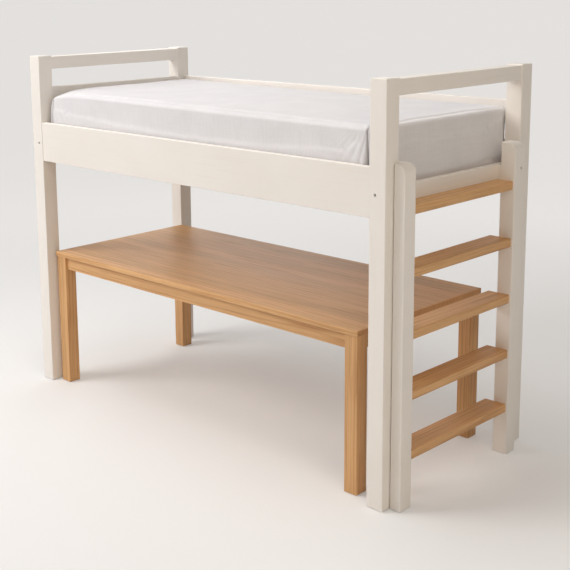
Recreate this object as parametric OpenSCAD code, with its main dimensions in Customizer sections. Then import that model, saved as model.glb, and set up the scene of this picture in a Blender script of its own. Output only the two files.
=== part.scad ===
// Cabin bed: a raised single bed on four square posts, with an open ladder end,
// a slatted base, a mattress in a fitted sheet, and an oak table that stands underneath.
// X runs from the head end to the ladder end, Y from the open front to the back, Z up.
// The origin is on the floor, in the middle of the whole outline.

/* [Bed frame] */
// Length of the bed over its posts
bed_len = 2160; // [2000:5:2300]
// Width of the bed over its posts
bed_wid = 958; // [860:2:1200]
// Height of the posts above the floor
bed_h = 1620; // [1400:5:1800]
// Side of the square posts
post_w = 74; // [70:1:84]
// Rounding of the sawn edges
edge_r = 3; // [1.5:0.5:4]
// Thickness of the felt pads under posts, stiles and table legs
pad_t = 3; // [2:0.5:5]
// Diameter of the felt pads under the bed posts
post_pad_d = 60; // [40:1:66]

/* [Rails] */
// Height of the side rails
rail_h = 187; // [170:1:210]
// Thickness of the side rails and of the back guard rail
rail_t = 26; // [24:1:32]
// How far the side rails lie behind the outer faces of the posts
rail_set = 3; // [1:0.5:6]
// Thickness of the lower end rails and of the head guard rail
end_rail_t = 28; // [26:1:32]
// Height of the lower end rails
end_rail_h = 106; // [100:1:125]
// How far the end rails lie behind the inner faces of the posts
end_rail_set = 12; // [4:1:24]
// Height of the guard rails behind the mattress
guard_h = 100; // [80:1:110]
// Rise of the guard rails above the side rails
guard_rise = 166; // [130:1:180]
// Clear gap between the guard rails and the top rails
top_gap = 87; // [80:1:130]
// Height of the top rails at both ends
top_rail_h = 59; // [45:1:70]
// How far the top rails lie behind both faces of the posts
top_rail_set = 4; // [2:0.5:8]
// Drop of the top rails below the post tops
top_rail_drop = 5; // [3:0.5:10]

/* [Slatted base] */
// Number of slats
slat_count = 14; // [10:1:16]
// Width of a slat
slat_w = 70; // [60:1:90]
// Thickness of a slat
slat_t = 18; // [16:1:22]
// Gap between the ends of the slats and the side rails
slat_gap = 2; // [1:0.5:4]
// Width of the ledges that carry the slats
ledge_w = 28; // [24:1:40]
// Height of the ledges
ledge_h = 38; // [32:1:46]
// Height of the ledge undersides above the rail undersides
ledge_lift = 34; // [30:1:40]
// Number of screws in each ledge
ledge_screws_n = 7; // [5:1:9]
// Width of the webbing tapes that hold the slats apart
tape_w = 25; // [20:1:40]
// Thickness of the webbing tapes
tape_t = 1.2; // [1:0.1:2]

/* [Mattress] */
// Thickness of the mattress with its sheet
mattress_t = 252; // [190:2:260]
// Gap between the mattress and the head posts
mattress_head_gap = 8; // [5:1:20]
// Gap between the mattress and the ladder-end posts
mattress_foot_gap = 8; // [5:1:20]
// Gap between the mattress and each side rail
mattress_side_gap = 4; // [2:1:10]
// Corner radius of the mattress in plan
mattress_corner_r = 32; // [24:1:60]
// Rounding of the long edges of the mattress
mattress_edge_r = 22; // [14:1:30]
// Rise of the crown in the middle of the mattress
mattress_crown = 6; // [4:1:12]
// How far the sides draw in at half height
mattress_waist = 4; // [2:0.5:8]
// Thickness of the fitted sheet
sheet_t = 1.5; // [1:0.1:2]
// Width of the hem that is tucked under the mattress
sheet_hem = 90; // [60:5:120]

/* [Ladder] */
// Depth of the stiles along the bed
stile_d = 65; // [60:1:75]
// Width of the stiles across the bed
stile_w = 67; // [60:1:75]
// How far the stiles stand out past the ladder-end posts
stile_out = 50; // [46:1:56]
// Rise of the stiles above the lower end rail
stile_rise = 95; // [60:1:120]
// Radius of the rounded heads of the stiles
stile_head_r = 36; // [20:1:42]
// Distance from the front of the bed to the front stile
stile_front = 45; // [40:1:52]
// Gap between the back stile and the back post
stile_back_gap = 48; // [30:1:80]
// Depth of the rungs, front to back
rung_d = 100; // [90:1:104]
// Thickness of the rungs
rung_t = 36; // [30:1:40]
// How far the rungs lie behind the front faces of the stiles
rung_set = 8; // [4:1:12]
// Height of the top of the lowest rung
first_rung = 222; // [150:1:280]
// Distance from the top of the lower end rail down to the top rung
rung_drop = 59; // [56:1:62]

/* [Table] */
// Height of the table
table_h = 665; // [600:5:760]
// Thickness of the table top
top_t = 24; // [20:1:32]
// Gap between the table top and the head posts
table_head_gap = 20; // [10:1:40]
// Gap between the table top and the ladder-end posts
table_foot_gap = 79; // [60:1:120]
// How far the table lies behind the front of the bed
table_front_set = 37; // [20:1:60]
// Gap between the table and the back posts
table_back_gap = 16; // [10:1:40]
// Side of the square table legs
leg_w = 62; // [56:1:70]
// How far the top stands over the legs
top_over = 5; // [2:1:12]
// Height of the aprons
apron_h = 60; // [54:1:90]
// Thickness of the aprons
apron_t = 22; // [20:1:28]
// How far the aprons lie behind the leg faces
apron_set = 12; // [8:1:14]
// Width of the bearer under the middle of the top
bearer_w = 45; // [35:1:60]
// Height of the bearer
bearer_h = 40; // [34:1:46]

/* [Fixings] */
// Diameter of the wooden dowels
dowel_d = 10; // [8:0.5:12]
// Length of the long dowels
dowel_len = 60; // [50:2:64]
// Length of the short dowels in rungs and bearer
short_dowel_len = 36; // [30:2:40]
// Clearance on the diameter of every hole
hole_gap = 0.3; // [0.2:0.1:0.5]
// Diameter of the end rail bolts
bolt_d = 6; // [5:0.5:8]
// Head diameter of the end rail bolts
bolt_head_d = 10; // [9:0.5:12]
// Depth of the sunk bolt heads below the wood
bolt_sink = 4; // [3:0.5:8]
// Distance of the end rail bolts below the rail tops
bolt_drop = 19; // [17:1:22]
// Diameter of the studs that draw the side rails to the posts
stud_d = 8; // [6:0.5:8]
// Diameter of the barrel nuts
barrel_d = 12; // [10:0.5:12]
// Diameter of the screws of ledges and slats
screw_d = 5; // [4:0.5:6]
// Diameter of the ladder screws
ladder_screw_d = 6; // [5:0.5:8]
// Diameter of the screws of brackets and clips
small_screw_d = 3.5; // [3:0.5:4]

/* [Hidden] */
$fn = 32;
rung_n = 5;
// clearance under the mattress, and between it and its sheet
seat_gap = 0.3;
// clearance where the front stile laps round the corner of its post
notch_gap = 4;
// smaller rounding, on ledges, slats and aprons, and the larger one on treads and the table top
soft_r = 2;
tread_r = 4;

overall_len = bed_len + stile_out;
in_len = bed_len - 2 * post_w;
in_wid = bed_wid - 2 * post_w;
end_rail_x = post_w - end_rail_set - end_rail_t;
end_rail_mid = end_rail_x + end_rail_t / 2;
top_rail_z = bed_h - top_rail_drop - top_rail_h;
guard_z = top_rail_z - top_gap - guard_h;
rail_z = guard_z + guard_h - guard_rise - rail_h;
end_rail_top = rail_z + end_rail_h;
top_rail_t = post_w - 2 * top_rail_set;
rail_mid = rail_set + rail_t / 2;
rail_in = rail_set + rail_t;

// heights of the fixings in each kind of rail
side_stud_z = [rail_z + 0.25 * rail_h, rail_z + 0.75 * rail_h];
dowel_edge = 22;
side_dowel_z = [rail_z + dowel_edge, rail_z + rail_h - dowel_edge];
end_bolt_z = end_rail_top - bolt_drop;
end_dowel_z = [rail_z + dowel_edge, rail_z + dowel_edge + 4 * dowel_d];
guard_dowel_z = [guard_z + dowel_edge, guard_z + guard_h - dowel_edge];
guard_stud_z = guard_z + guard_h / 2;
top_dowel_z = top_rail_z + top_rail_h / 2;
top_dowel_off = 18;
top_dowel_x = [post_w / 2 - top_dowel_off, post_w / 2 + top_dowel_off];

// studs: length in the post, distance of the barrel nut behind the rail's end, length past it
stud_in_post = 38;
barrel_in = 45;
stud_past = 10;
stud_len = stud_in_post + barrel_in + stud_past;
// wood left in front of a barrel nut, and the play at its end
nut_skin = 7;
nut_play = 0.5;
barrel_len = rail_t - nut_skin - 2 * nut_play;
// end rail bolts, with the same measures
bolt_head_t = 6;
end_barrel_in = 24;
end_barrel_d = 10;
bolt_past = 10;
end_nut_skin = 4;
end_barrel_len = end_rail_t - 2 * end_nut_skin;

slat_z = rail_z + ledge_lift + ledge_h;
slat_len = bed_wid - 2 * rail_in - 2 * slat_gap;
// distance of the first slat from the posts
slat_in = 30;
slat_x0 = post_w + slat_in;
slat_pitch = (in_len - 2 * slat_in - slat_w) / (slat_count - 1);
tape_y = [bed_wid * 0.3, bed_wid * 0.7 - tape_w];
ledge_end_gap = 4;
// distance of the first ledge screw from the post, clear of the studs
ledge_screw_in = 100;
// how far the screws bite into the wood behind what they hold
ledge_bite = 17;
slat_bite = 22;
stile_bite = 30;
ledge_screw_len = ledge_w + ledge_bite;
slat_screw_len = slat_t + slat_bite;

mattress_len = in_len - mattress_head_gap - mattress_foot_gap;
mattress_wid = bed_wid - 2 * rail_in - 2 * mattress_side_gap;
mattress_z = slat_z + slat_t + seat_gap;
// rounding under the sides, and half width of the flat strip along the top
under_r = 20;
crown_strip = 20;
least_corner_r = 8;
corner_steps = 6;
long_steps = 6;
short_steps = 4;

stile_x = bed_len + stile_out - stile_d;
stile_back = bed_wid - post_w - stile_back_gap - stile_w;
stile_top = end_rail_top + stile_rise;
ladder_pad_d = 44;
// front face of the lower end rail; the top rung stops short of it, so it is less deep
end_rail_face = bed_len - end_rail_x;
top_rung_gap = 1;
rung_x = bed_len + stile_out - rung_set - rung_d;
function rung_back(i) = i == 0 ? max(rung_x, end_rail_face + top_rung_gap) : rung_x;
rung_y = stile_front + stile_w;
rung_len = stile_back - rung_y;
rung_pitch = (end_rail_top - rung_drop - first_rung) / (rung_n - 1);
rung_dowel_in = [45, 20];
rung_dowel_x = [for (in = rung_dowel_in) overall_len - in];
function rung_top(i) = end_rail_top - rung_drop - i * rung_pitch;

// blocks between the lower end rail and the stiles: [start across the bed, width]
spacer_edge = 4;
spacer_lift = 15;
spacer_drop = 2;
spacer_z = rail_z + spacer_lift;
spacer_h = end_rail_h - spacer_lift - spacer_drop;
front_spacer = [post_w + spacer_edge, rung_y - post_w - 2 * spacer_edge];
back_spacer = [stile_back + spacer_edge, stile_w - 2 * spacer_edge];
// the screws pass between the two dowels of the rail
ladder_screw_z = (end_dowel_z[0] + end_dowel_z[1]) / 2;
ladder_screw_y = [front_spacer[0] + front_spacer[1] / 2, stile_back + stile_w / 2];
ladder_screw_len = end_rail_t + stile_x - end_rail_face + stile_bite;
ladder_bolt_edge = 19;
ladder_bolt_y = stile_back + stile_w - ladder_bolt_edge;
ladder_bolt_rise = 8;
ladder_bolt_z = end_bolt_z + ladder_bolt_rise;
ladder_bolt_d = 8;
ladder_head_d = 13;
ladder_head_t = 8;
insert_d = 12;
insert_len = 14;
// distances inwards from the front of the stile: to the insert, and to the tip of the bolt
insert_from = overall_len - end_rail_face;
ladder_bolt_end = insert_from + insert_len - 2;

table_x = post_w + table_head_gap;
table_len = in_len - table_head_gap - table_foot_gap;
table_dep = bed_wid - post_w - table_back_gap - table_front_set;
table_pad_d = 40;
top_z = table_h - top_t;
leg_in = top_over + leg_w;
apron_out = top_over + apron_set;
apron_in = apron_out + apron_t;
apron_z = top_z - apron_h;
// wood left outside the bearer dowels, and their distance from the middle of the bearer
apron_skin = 5;
bearer_dowel_x = 11;
// corner brackets, in the standard gauge of such plates
plate_t = 2;
plate_h = 44;
bracket_z = top_z - (apron_h + plate_h) / 2;
bracket_foot = leg_in + 42;
bracket_end = bracket_foot + 32;
bracket_screw_u = bracket_foot + 16;
bracket_screw_z = [bracket_z + 12, bracket_z + plate_h - 12];
small_screw_len = 16;
// hanger bolts, and the distance along them to the far face of the bracket
hanger_from = 42;
hanger_len = 65;
hanger_d = 8;
hanger_z = top_z - apron_h / 2;
hanger_nut_d = 15;
hanger_nut_t = 6;
bracket_at = (bracket_foot + apron_in - 2 * hanger_from) / sqrt(2) + plate_t;
// angle clips: distance along the aprons from each corner, leg, width and screw place
clip_u = [table_len * 0.2, table_len * 0.38];
clip_v = table_dep * 0.35;
clip_leg = 20;
clip_w = 18;
clip_screw_in = 8;
clip_screw_len = 14;

wood_white = "#ece5da";
oak = "#cb9c6c";
pine = "#dcc196";
steel = "#a9abac";
felt = "#4a4742";
webbing = "#d9d2c4";
ticking = "#f3f1ee";
cotton = "#f0eeec";

// ---- helpers ----

// moves the bed's own corner to its place about the origin
module place() translate([-overall_len / 2, -bed_wid / 2, 0]) children();

// turns a piece drawn for the front head corner to any corner of a box of the given size
module at_corner(len, wid, far_x, far_y)
    translate([far_x ? len : 0, far_y ? wid : 0, 0])
        mirror([far_x ? 1 : 0, 0, 0]) mirror([0, far_y ? 1 : 0, 0]) children();

module bed_corner(ladder_end, back) place() at_corner(bed_len, bed_wid, ladder_end, back) children();

module table_place() place() translate([table_x, table_front_set, 0]) children();

module table_corner(ladder_end, back)
    table_place() at_corner(table_len, table_dep, ladder_end, back) children();

module rounded_rect(w, d, r) {
    translate([r, 0]) square([w - 2 * r, d]);
    translate([0, r]) square([w, d - 2 * r]);
    for (x = [r, w - r], y = [r, d - r]) translate([x, y]) circle(r);
}

// bars with eased long edges, along each axis, from corner p with size s
module bar_x(p, s, r = edge_r)
    translate(p) rotate([90, 0, 90]) linear_extrude(s[0]) rounded_rect(s[1], s[2], r);

module bar_y(p, s, r = edge_r)
    translate(p + [0, s[1], 0]) rotate([90, 0, 0]) linear_extrude(s[1]) rounded_rect(s[0], s[2], r);

module bar_z(p, s, r = edge_r) translate(p) linear_extrude(s[2]) rounded_rect(s[0], s[1], r);

// a block eased on all twelve edges
module eased_block(p, s, r = edge_r) intersection() {
    bar_z(p, s, r);
    bar_x(p, s, r);
    bar_y(p, s, r);
}

module rod_x(p, len, d) translate(p) rotate([0, 90, 0]) cylinder(d = d, h = len);

module rod_y(p, len, d) translate(p) rotate([-90, 0, 0]) cylinder(d = d, h = len);

module rod_z(p, len, d) translate(p) cylinder(d = d, h = len);

// ---- posts ----

// holes of the fixings that run along the bed, into a rail of the side
module side_holes(stud_z, dowel_z) {
    for (z = stud_z)
        rod_x([post_w - stud_in_post, rail_mid, z], stud_len + 2, stud_d + hole_gap);
    for (z = dowel_z)
        rod_x([post_w - dowel_len / 2 - 1, rail_mid, z], dowel_len + 2, dowel_d + hole_gap);
}

// dowel holes that run across the bed, into a rail of the end
module end_dowel_holes(x_list, z_list)
    for (x = x_list, z = z_list)
        rod_y([x, post_w - dowel_len / 2 - 1, z], dowel_len + 2, dowel_d + hole_gap);

module end_bolt_holes() {
    head_at = bolt_sink + bolt_head_t;
    rod_y([end_rail_mid, -1, end_bolt_z], head_at + 1, bolt_head_d + 2);
    rod_y([end_rail_mid, -1, end_bolt_z], post_w + end_barrel_in + bolt_past + 3, bolt_d + hole_gap);
}

module post(ladder_end, back, side_guard = false, end_guard = false) color(wood_white)
    bed_corner(ladder_end, back) difference() {
        eased_block([0, 0, pad_t], [post_w, post_w, bed_h - pad_t]);
        side_holes(side_stud_z, side_dowel_z);
        if (side_guard) side_holes([guard_stud_z], guard_dowel_z);
        end_dowel_holes([end_rail_mid], end_dowel_z);
        if (end_guard) end_dowel_holes([end_rail_mid], guard_dowel_z);
        end_dowel_holes(top_dowel_x, [top_dowel_z]);
        end_bolt_holes();
    }

module post_front_head() post(0, 0, end_guard = true);
module post_back_head() post(0, 1, side_guard = true, end_guard = true);
module post_front_ladder() post(1, 0);
module post_back_ladder() post(1, 1, side_guard = true);

module post_felt_pads() color(felt) for (far = [0, 1], back = [0, 1])
    bed_corner(far, back) rod_z([post_w / 2, post_w / 2, 0], pad_t, post_pad_d);

// ---- rails ----

module side_board(back, z, h, stud_z, dowel_z) color(wood_white) difference() {
    bed_corner(0, back) bar_x([post_w, rail_set, z], [in_len, rail_t, h]);
    for (far = [0, 1]) bed_corner(far, back) {
        side_holes(stud_z, dowel_z);
        for (z = stud_z) rod_y([post_w + barrel_in, rail_set + nut_skin, z], rail_t, barrel_d + hole_gap);
    }
}

module side_rail(back) difference() {
    side_board(back, rail_z, rail_h, side_stud_z, side_dowel_z);
    for (i = [0:ledge_screws_n - 1])
        bed_corner(0, back) ledge_screw_at(i) wood_screw_hole(ledge_screw_len, screw_d);
}

module side_rail_front() side_rail(0);
module side_rail_back() side_rail(1);
module back_guard_rail() side_board(1, guard_z, guard_h, [guard_stud_z], guard_dowel_z);

module end_board(ladder_end, x, t, z, h, dowel_x, dowel_z) color(wood_white) difference() {
    bed_corner(ladder_end, 0) bar_y([x, post_w, z], [t, in_wid, h]);
    for (back = [0, 1]) bed_corner(ladder_end, back) end_dowel_holes(dowel_x, dowel_z);
}

module lower_rail(ladder_end) difference() {
    end_board(ladder_end, end_rail_x, end_rail_t, rail_z, end_rail_h, [end_rail_mid], end_dowel_z);
    for (back = [0, 1]) bed_corner(ladder_end, back) {
        end_bolt_holes();
        rod_x([end_rail_x + end_nut_skin, post_w + end_barrel_in, end_bolt_z], end_rail_t,
              end_barrel_d + hole_gap);
    }
    if (ladder_end) ladder_fixing_holes();
}

module head_lower_rail() lower_rail(0);
module ladder_end_lower_rail() lower_rail(1);

module head_guard_rail()
    end_board(0, end_rail_x, end_rail_t, guard_z, guard_h, [end_rail_mid], guard_dowel_z);

module top_rail(ladder_end)
    end_board(ladder_end, top_rail_set, top_rail_t, top_rail_z, top_rail_h, top_dowel_x, [top_dowel_z]);

module head_top_rail() top_rail(0);
module ladder_end_top_rail() top_rail(1);

// ---- fixings of the frame ----

module rail_dowels() color(pine) for (far = [0, 1], back = [0, 1]) bed_corner(far, back) {
    for (z = side_dowel_z) rod_x([post_w - dowel_len / 2, rail_mid, z], dowel_len, dowel_d);
    for (z = end_dowel_z) rod_y([end_rail_mid, post_w - dowel_len / 2, z], dowel_len, dowel_d);
}

module guard_dowels() color(pine) for (z = guard_dowel_z) {
    for (far = [0, 1]) bed_corner(far, 1) rod_x([post_w - dowel_len / 2, rail_mid, z], dowel_len, dowel_d);
    for (back = [0, 1])
        bed_corner(0, back) rod_y([end_rail_mid, post_w - dowel_len / 2, z], dowel_len, dowel_d);
}

module top_rail_dowels() color(pine) for (far = [0, 1], back = [0, 1], x = top_dowel_x)
    bed_corner(far, back) rod_y([x, post_w - dowel_len / 2, top_dowel_z], dowel_len, dowel_d);

// one stud from a post into a side rail, or the barrel nut that it is screwed into
module stud(z) rod_x([post_w - stud_in_post, rail_mid, z], stud_len, stud_d);

module stud_nut(z) difference() {
    rod_y([post_w + barrel_in, rail_set + nut_skin + nut_play, z], barrel_len, barrel_d);
    rod_x([post_w, rail_mid, z], barrel_in * 2, stud_d + hole_gap);
}

module rail_studs() color(steel) for (far = [0, 1]) {
    for (back = [0, 1], z = side_stud_z) bed_corner(far, back) stud(z);
    bed_corner(far, 1) stud(guard_stud_z);
}

module stud_barrel_nuts() color(steel) for (far = [0, 1]) {
    for (back = [0, 1], z = side_stud_z) bed_corner(far, back) stud_nut(z);
    bed_corner(far, 1) stud_nut(guard_stud_z);
}

// a socket head bolt that points along +Y, with its head at the origin
module socket_bolt(d, head_d, head_t, shank) difference() {
    union() {
        rod_y([0, 0, 0], head_t, head_d);
        rod_y([0, head_t - 0.5, 0], shank + 0.5, d);
    }
    translate([0, -1, 0]) rotate([-90, 0, 0]) cylinder(d = 0.85 * d, h = head_t * 0.6 + 1, $fn = 6);
}

module end_rail_bolts() color(steel) for (far = [0, 1], back = [0, 1])
    bed_corner(far, back) translate([end_rail_mid, bolt_sink, end_bolt_z])
        socket_bolt(bolt_d, bolt_head_d, bolt_head_t,
                    post_w + end_barrel_in + bolt_past - bolt_sink - bolt_head_t);

module end_rail_barrel_nuts() color(steel) for (far = [0, 1], back = [0, 1])
    bed_corner(far, back) difference() {
        rod_x([end_rail_x + end_nut_skin + nut_play, post_w + end_barrel_in, end_bolt_z],
              end_barrel_len, end_barrel_d);
        rod_y([end_rail_mid, post_w, end_bolt_z], end_barrel_in * 2, bolt_d + hole_gap);
    }

// a countersunk wood screw along -Y, with the face of its head at the origin, and its hole
module wood_screw(len, d) rotate([90, 0, 0]) {
    cylinder(d1 = 2 * d, d2 = d, h = d / 2);
    cylinder(d = d, h = len);
}

module wood_screw_hole(len, d) rotate([90, 0, 0]) {
    translate([0, 0, -hole_gap]) cylinder(d1 = 2 * d + 2 * hole_gap, d2 = d + hole_gap, h = d / 2 + hole_gap);
    translate([0, 0, -0.5]) cylinder(d = d + hole_gap, h = len + 1);
}

// ---- slatted base ----

// where the screws of the ledges start, on the inner face of a ledge
module ledge_screw_at(i)
    translate([post_w + ledge_screw_in + i * (in_len - 2 * ledge_screw_in) / (ledge_screws_n - 1),
               rail_in + ledge_w, rail_z + ledge_lift + ledge_h / 2]) children();

// where the screws of the first and the last slat start, over the middle of a ledge
module slat_screw_at(far)
    translate([far ? bed_len - slat_x0 - slat_w / 2 : slat_x0 + slat_w / 2,
               rail_in + ledge_w / 2, slat_z + slat_t])
        rotate([90, 0, 0]) children();

module slat_ledge(back) color(pine) bed_corner(0, back) difference() {
    bar_x([post_w + ledge_end_gap, rail_in, rail_z + ledge_lift],
          [in_len - 2 * ledge_end_gap, ledge_w, ledge_h], soft_r);
    for (i = [0:ledge_screws_n - 1]) ledge_screw_at(i) wood_screw_hole(ledge_screw_len, screw_d);
    for (far = [0, 1]) slat_screw_at(far) wood_screw_hole(slat_screw_len, screw_d);
}

module slat_ledge_front() slat_ledge(0);
module slat_ledge_back() slat_ledge(1);

module ledge_screws() color(steel) for (back = [0, 1], i = [0:ledge_screws_n - 1])
    bed_corner(0, back) ledge_screw_at(i) wood_screw(ledge_screw_len, screw_d);

module bed_slats() color(pine) difference() {
    place() for (i = [0:slat_count - 1])
        bar_y([slat_x0 + i * slat_pitch, rail_in + slat_gap, slat_z], [slat_w, slat_len, slat_t], soft_r);
    for (far = [0, 1], back = [0, 1])
        bed_corner(0, back) slat_screw_at(far) wood_screw_hole(slat_screw_len, screw_d);
}

module slat_tapes() color(webbing) place() for (y = tape_y)
    translate([slat_x0, y, slat_z - tape_t])
        cube([slat_pitch * (slat_count - 1) + slat_w, tape_w, tape_t]);

module slat_screws() color(steel) for (far = [0, 1], back = [0, 1])
    bed_corner(0, back) slat_screw_at(far) wood_screw(slat_screw_len, screw_d);

// ---- mattress and sheet ----

function arc_points(cx, cy, r, from) = [for (i = [0:corner_steps])
    let (a = from + 90 * i / corner_steps) [cx + r * cos(a), cy + r * sin(a)]];

// points between p and q, drawn in towards the left of the way from p to q
function side_points(p, q, steps, draw_in) =
    let (left = [p.y - q.y, q.x - p.x] / norm(q - p))
    [for (i = [1:steps - 1]) p + (q - p) * i / steps + left * draw_in * sin(180 * i / steps)];

// plan outline of half length a and half width b, anticlockwise from above
function outline(a, b, r, draw_in) = concat(
    arc_points(a - r, b - r, r, 0), side_points([a - r, b], [r - a, b], long_steps, draw_in),
    arc_points(r - a, b - r, r, 90), side_points([-a, b - r], [-a, r - b], short_steps, draw_in),
    arc_points(r - a, r - b, r, 180), side_points([r - a, -b], [a - r, -b], long_steps, draw_in),
    arc_points(a - r, r - b, r, 270), side_points([a, r - b], [a, b - r], short_steps, draw_in));

// The mattress from its underside, round its side, to the middle of its top, as
// [inset from the widest outline, height, how far the sides draw in between the corners].
function section(first_inset) = let (
    top = mattress_t - mattress_crown,
    edge = mattress_edge_r,
    crown_run = mattress_wid / 2 - crown_strip - edge)
    concat(
        [[first_inset, 0, 0]],
        [for (a = [0:45:90]) [under_r * (1 - sin(a)), under_r * (1 - cos(a)), 0]],
        [[0, (under_r + top - edge) / 2, mattress_waist]],
        [for (a = [0:30:90]) [edge * (1 - cos(a)), top - edge * (1 - sin(a)), 0]],
        [for (i = [1:3]) [edge + crown_run * i / 3, top + mattress_crown * sin(30 * i), 0]]);

// one ring of points for each step of the section, moved inwards by the thickness "off"
function rings(first_inset, off) = [for (s = section(first_inset))
    let (inset = s[0] + off, z = off + s[1] * (mattress_t - 2 * off) / mattress_t)
    [for (p = outline(mattress_len / 2 - inset, mattress_wid / 2 - inset,
                      max(mattress_corner_r - inset, least_corner_r), s[2])) [p.x, p.y, z]]];

// Closed skin through rings of equal length, with a flat cap on the first and the last. Its patches
// are split along the diagonal that rises the same way in every skin, so nested skins stay apart.
module skin(rings) {
    n = len(rings[0]);
    m = len(rings);
    hub = floor(corner_steps / 2);
    polyhedron(
        points = [for (ring = rings) for (p = ring) p],
        faces = concat(
            [for (i = [0:m - 2], j = [0:n - 1]) let (
                a = i * n + j, b = i * n + (j + 1) % n,
                c = a + n, d = b + n,
                rising = rings[i + 1][0].z > rings[i][0].z)
                each rising ? [[a, c, b], [c, d, b]] : [[a, c, d], [a, d, b]]],
            [for (j = [1:n - 2]) [hub, (hub + j) % n, (hub + j + 1) % n]],
            [for (j = [1:n - 2]) (m - 1) * n * [1, 1, 1] + [hub, (hub + j + 1) % n, (hub + j) % n]]));
}

module mattress_place() place()
    translate([post_w + mattress_head_gap + mattress_len / 2, bed_wid / 2, mattress_z]) children();

module mattress() color(ticking) mattress_place()
    skin(rings(mattress_wid / 2 - crown_strip, sheet_t + seat_gap));

module fitted_sheet() color(cotton) mattress_place() let (
    inside = rings(sheet_hem, sheet_t),
    last = len(inside) - 1)
    skin(concat([for (i = [last:-1:0]) inside[i]], rings(sheet_hem, 0)));

// ---- ladder ----

// side view of a stile: its back on the left, its front on the right with a rounded head
module stile_outline() {
    h = stile_top - pad_t;
    square([stile_d, h - stile_head_r]);
    square([stile_d - stile_head_r, h]);
    translate([stile_d - stile_head_r, h - stile_head_r]) circle(stile_head_r, $fn = 64);
}

module stile(y) intersection() {
    translate([stile_x, y + stile_w, pad_t]) rotate([90, 0, 0]) linear_extrude(stile_w) stile_outline();
    bar_z([stile_x, y, 0], [stile_d, stile_w, stile_top + 1]);
    bar_x([stile_x - 1, y, pad_t], [stile_d + 2, stile_w, stile_top - pad_t]);
}

// the axis height of each rung, and both places of its dowels
module at_rung_dowels(y) for (i = [0:rung_n - 1], x = rung_dowel_x)
    translate([x, y - short_dowel_len / 2, rung_top(i) - rung_t / 2]) children();

module rung_dowel_holes() for (y = [rung_y, stile_back])
    at_rung_dowels(y) rod_y([0, -1, 0], short_dowel_len + 2, dowel_d + hole_gap);

// screws start on the inner face of the lower end rail and run outwards into the stiles
module at_ladder_screws() for (y = ladder_screw_y)
    translate([end_rail_face - end_rail_t, y, ladder_screw_z]) rotate([0, 0, 90]) children();

// the bolt starts in the front of the back stile and runs inwards to the lower end rail
module at_ladder_bolt() translate([overall_len, ladder_bolt_y, ladder_bolt_z]) rotate([0, 0, 90]) children();

module ladder_fixing_holes() place() {
    at_ladder_screws() wood_screw_hole(ladder_screw_len, ladder_screw_d);
    at_ladder_bolt() {
        rod_y([0, -1, 0], bolt_sink + ladder_head_t + 1, ladder_head_d + 1);
        rod_y([0, 0, 0], ladder_bolt_end + 2, ladder_bolt_d + hole_gap);
        rod_y([0, insert_from, 0], insert_len + 0.5, insert_d + hole_gap);
    }
}

module ladder_stile_front() color(wood_white) difference() {
    place() stile(stile_front);
    // rebate that laps round the corner of the post
    place() translate([stile_x - 1, stile_front - 1, 0])
        cube([bed_len + notch_gap - stile_x + 1, post_w + notch_gap - stile_front + 1, stile_top + 1]);
    place() rung_dowel_holes();
    ladder_fixing_holes();
}

module ladder_stile_back() color(wood_white) difference() {
    place() stile(stile_back);
    place() rung_dowel_holes();
    ladder_fixing_holes();
}

module rung(i) color(oak) place() difference() {
    bar_y([rung_back(i), rung_y, rung_top(i) - rung_t],
          [rung_x + rung_d - rung_back(i), rung_len, rung_t], tread_r);
    rung_dowel_holes();
}

module ladder_rung_1() rung(0);
module ladder_rung_2() rung(1);
module ladder_rung_3() rung(2);
module ladder_rung_4() rung(3);
module ladder_rung_5() rung(4);

module rung_dowels() color(pine) place() for (y = [rung_y, stile_back])
    at_rung_dowels(y) rod_y([0, 0, 0], short_dowel_len, dowel_d);

module spacer(span) color(wood_white) difference() {
    place() translate([end_rail_face, span[0], spacer_z]) cube([stile_x - end_rail_face, span[1], spacer_h]);
    ladder_fixing_holes();
}

module ladder_spacer_front() spacer(front_spacer);
module ladder_spacer_back() spacer(back_spacer);

module ladder_screws() color(steel) place()
    at_ladder_screws() wood_screw(ladder_screw_len, ladder_screw_d);

module ladder_bolt() color(steel) place() at_ladder_bolt() translate([0, bolt_sink, 0])
    socket_bolt(ladder_bolt_d, ladder_head_d, ladder_head_t, ladder_bolt_end - bolt_sink - ladder_head_t);

module ladder_bolt_insert() color(steel) place() at_ladder_bolt() difference() {
    rod_y([0, insert_from, 0], insert_len, insert_d);
    rod_y([0, insert_from - 1, 0], insert_len + 2, ladder_bolt_d + hole_gap);
}

module ladder_felt_pads() color(felt) place() for (y = [stile_front, stile_back])
    rod_z([bed_len + stile_out / 2, y + stile_w / 2, 0], pad_t, ladder_pad_d);

// ---- table ----

// swaps the two plan directions of a corner
module swapped() mirror([1, -1, 0]) children();

// where the clips stand: by a long apron, or swapped, by a short one
module at_clips() {
    for (u = clip_u) translate([u, apron_in, top_z]) children();
    swapped() translate([clip_v, apron_in, top_z]) children();
}

module clip_screw_in_top() translate([0, clip_leg - clip_screw_in, -plate_t]) rotate([-90, 0, 0]) children();
module clip_screw_in_apron() translate([0, plate_t, clip_screw_in - clip_leg]) children();

// the line of the hanger bolt, through the corner of the leg and the bracket
module hanger_line() translate([hanger_from, hanger_from, hanger_z]) rotate([0, 0, 45]) children();

module at_bracket_screws() for (z = bracket_screw_z) {
    translate([bracket_screw_u, apron_in + plate_t, z]) children();
    swapped() translate([bracket_screw_u, apron_in + plate_t, z]) children();
}

module table_corners() for (far = [0, 1], back = [0, 1]) table_corner(far, back) children();

module table_top() color(oak) difference() {
    table_place() eased_block([0, 0, top_z], [table_len, table_dep, top_t], tread_r);
    table_corners() at_clips() clip_screw_in_top() wood_screw_hole(clip_screw_len, small_screw_d);
}

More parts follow.
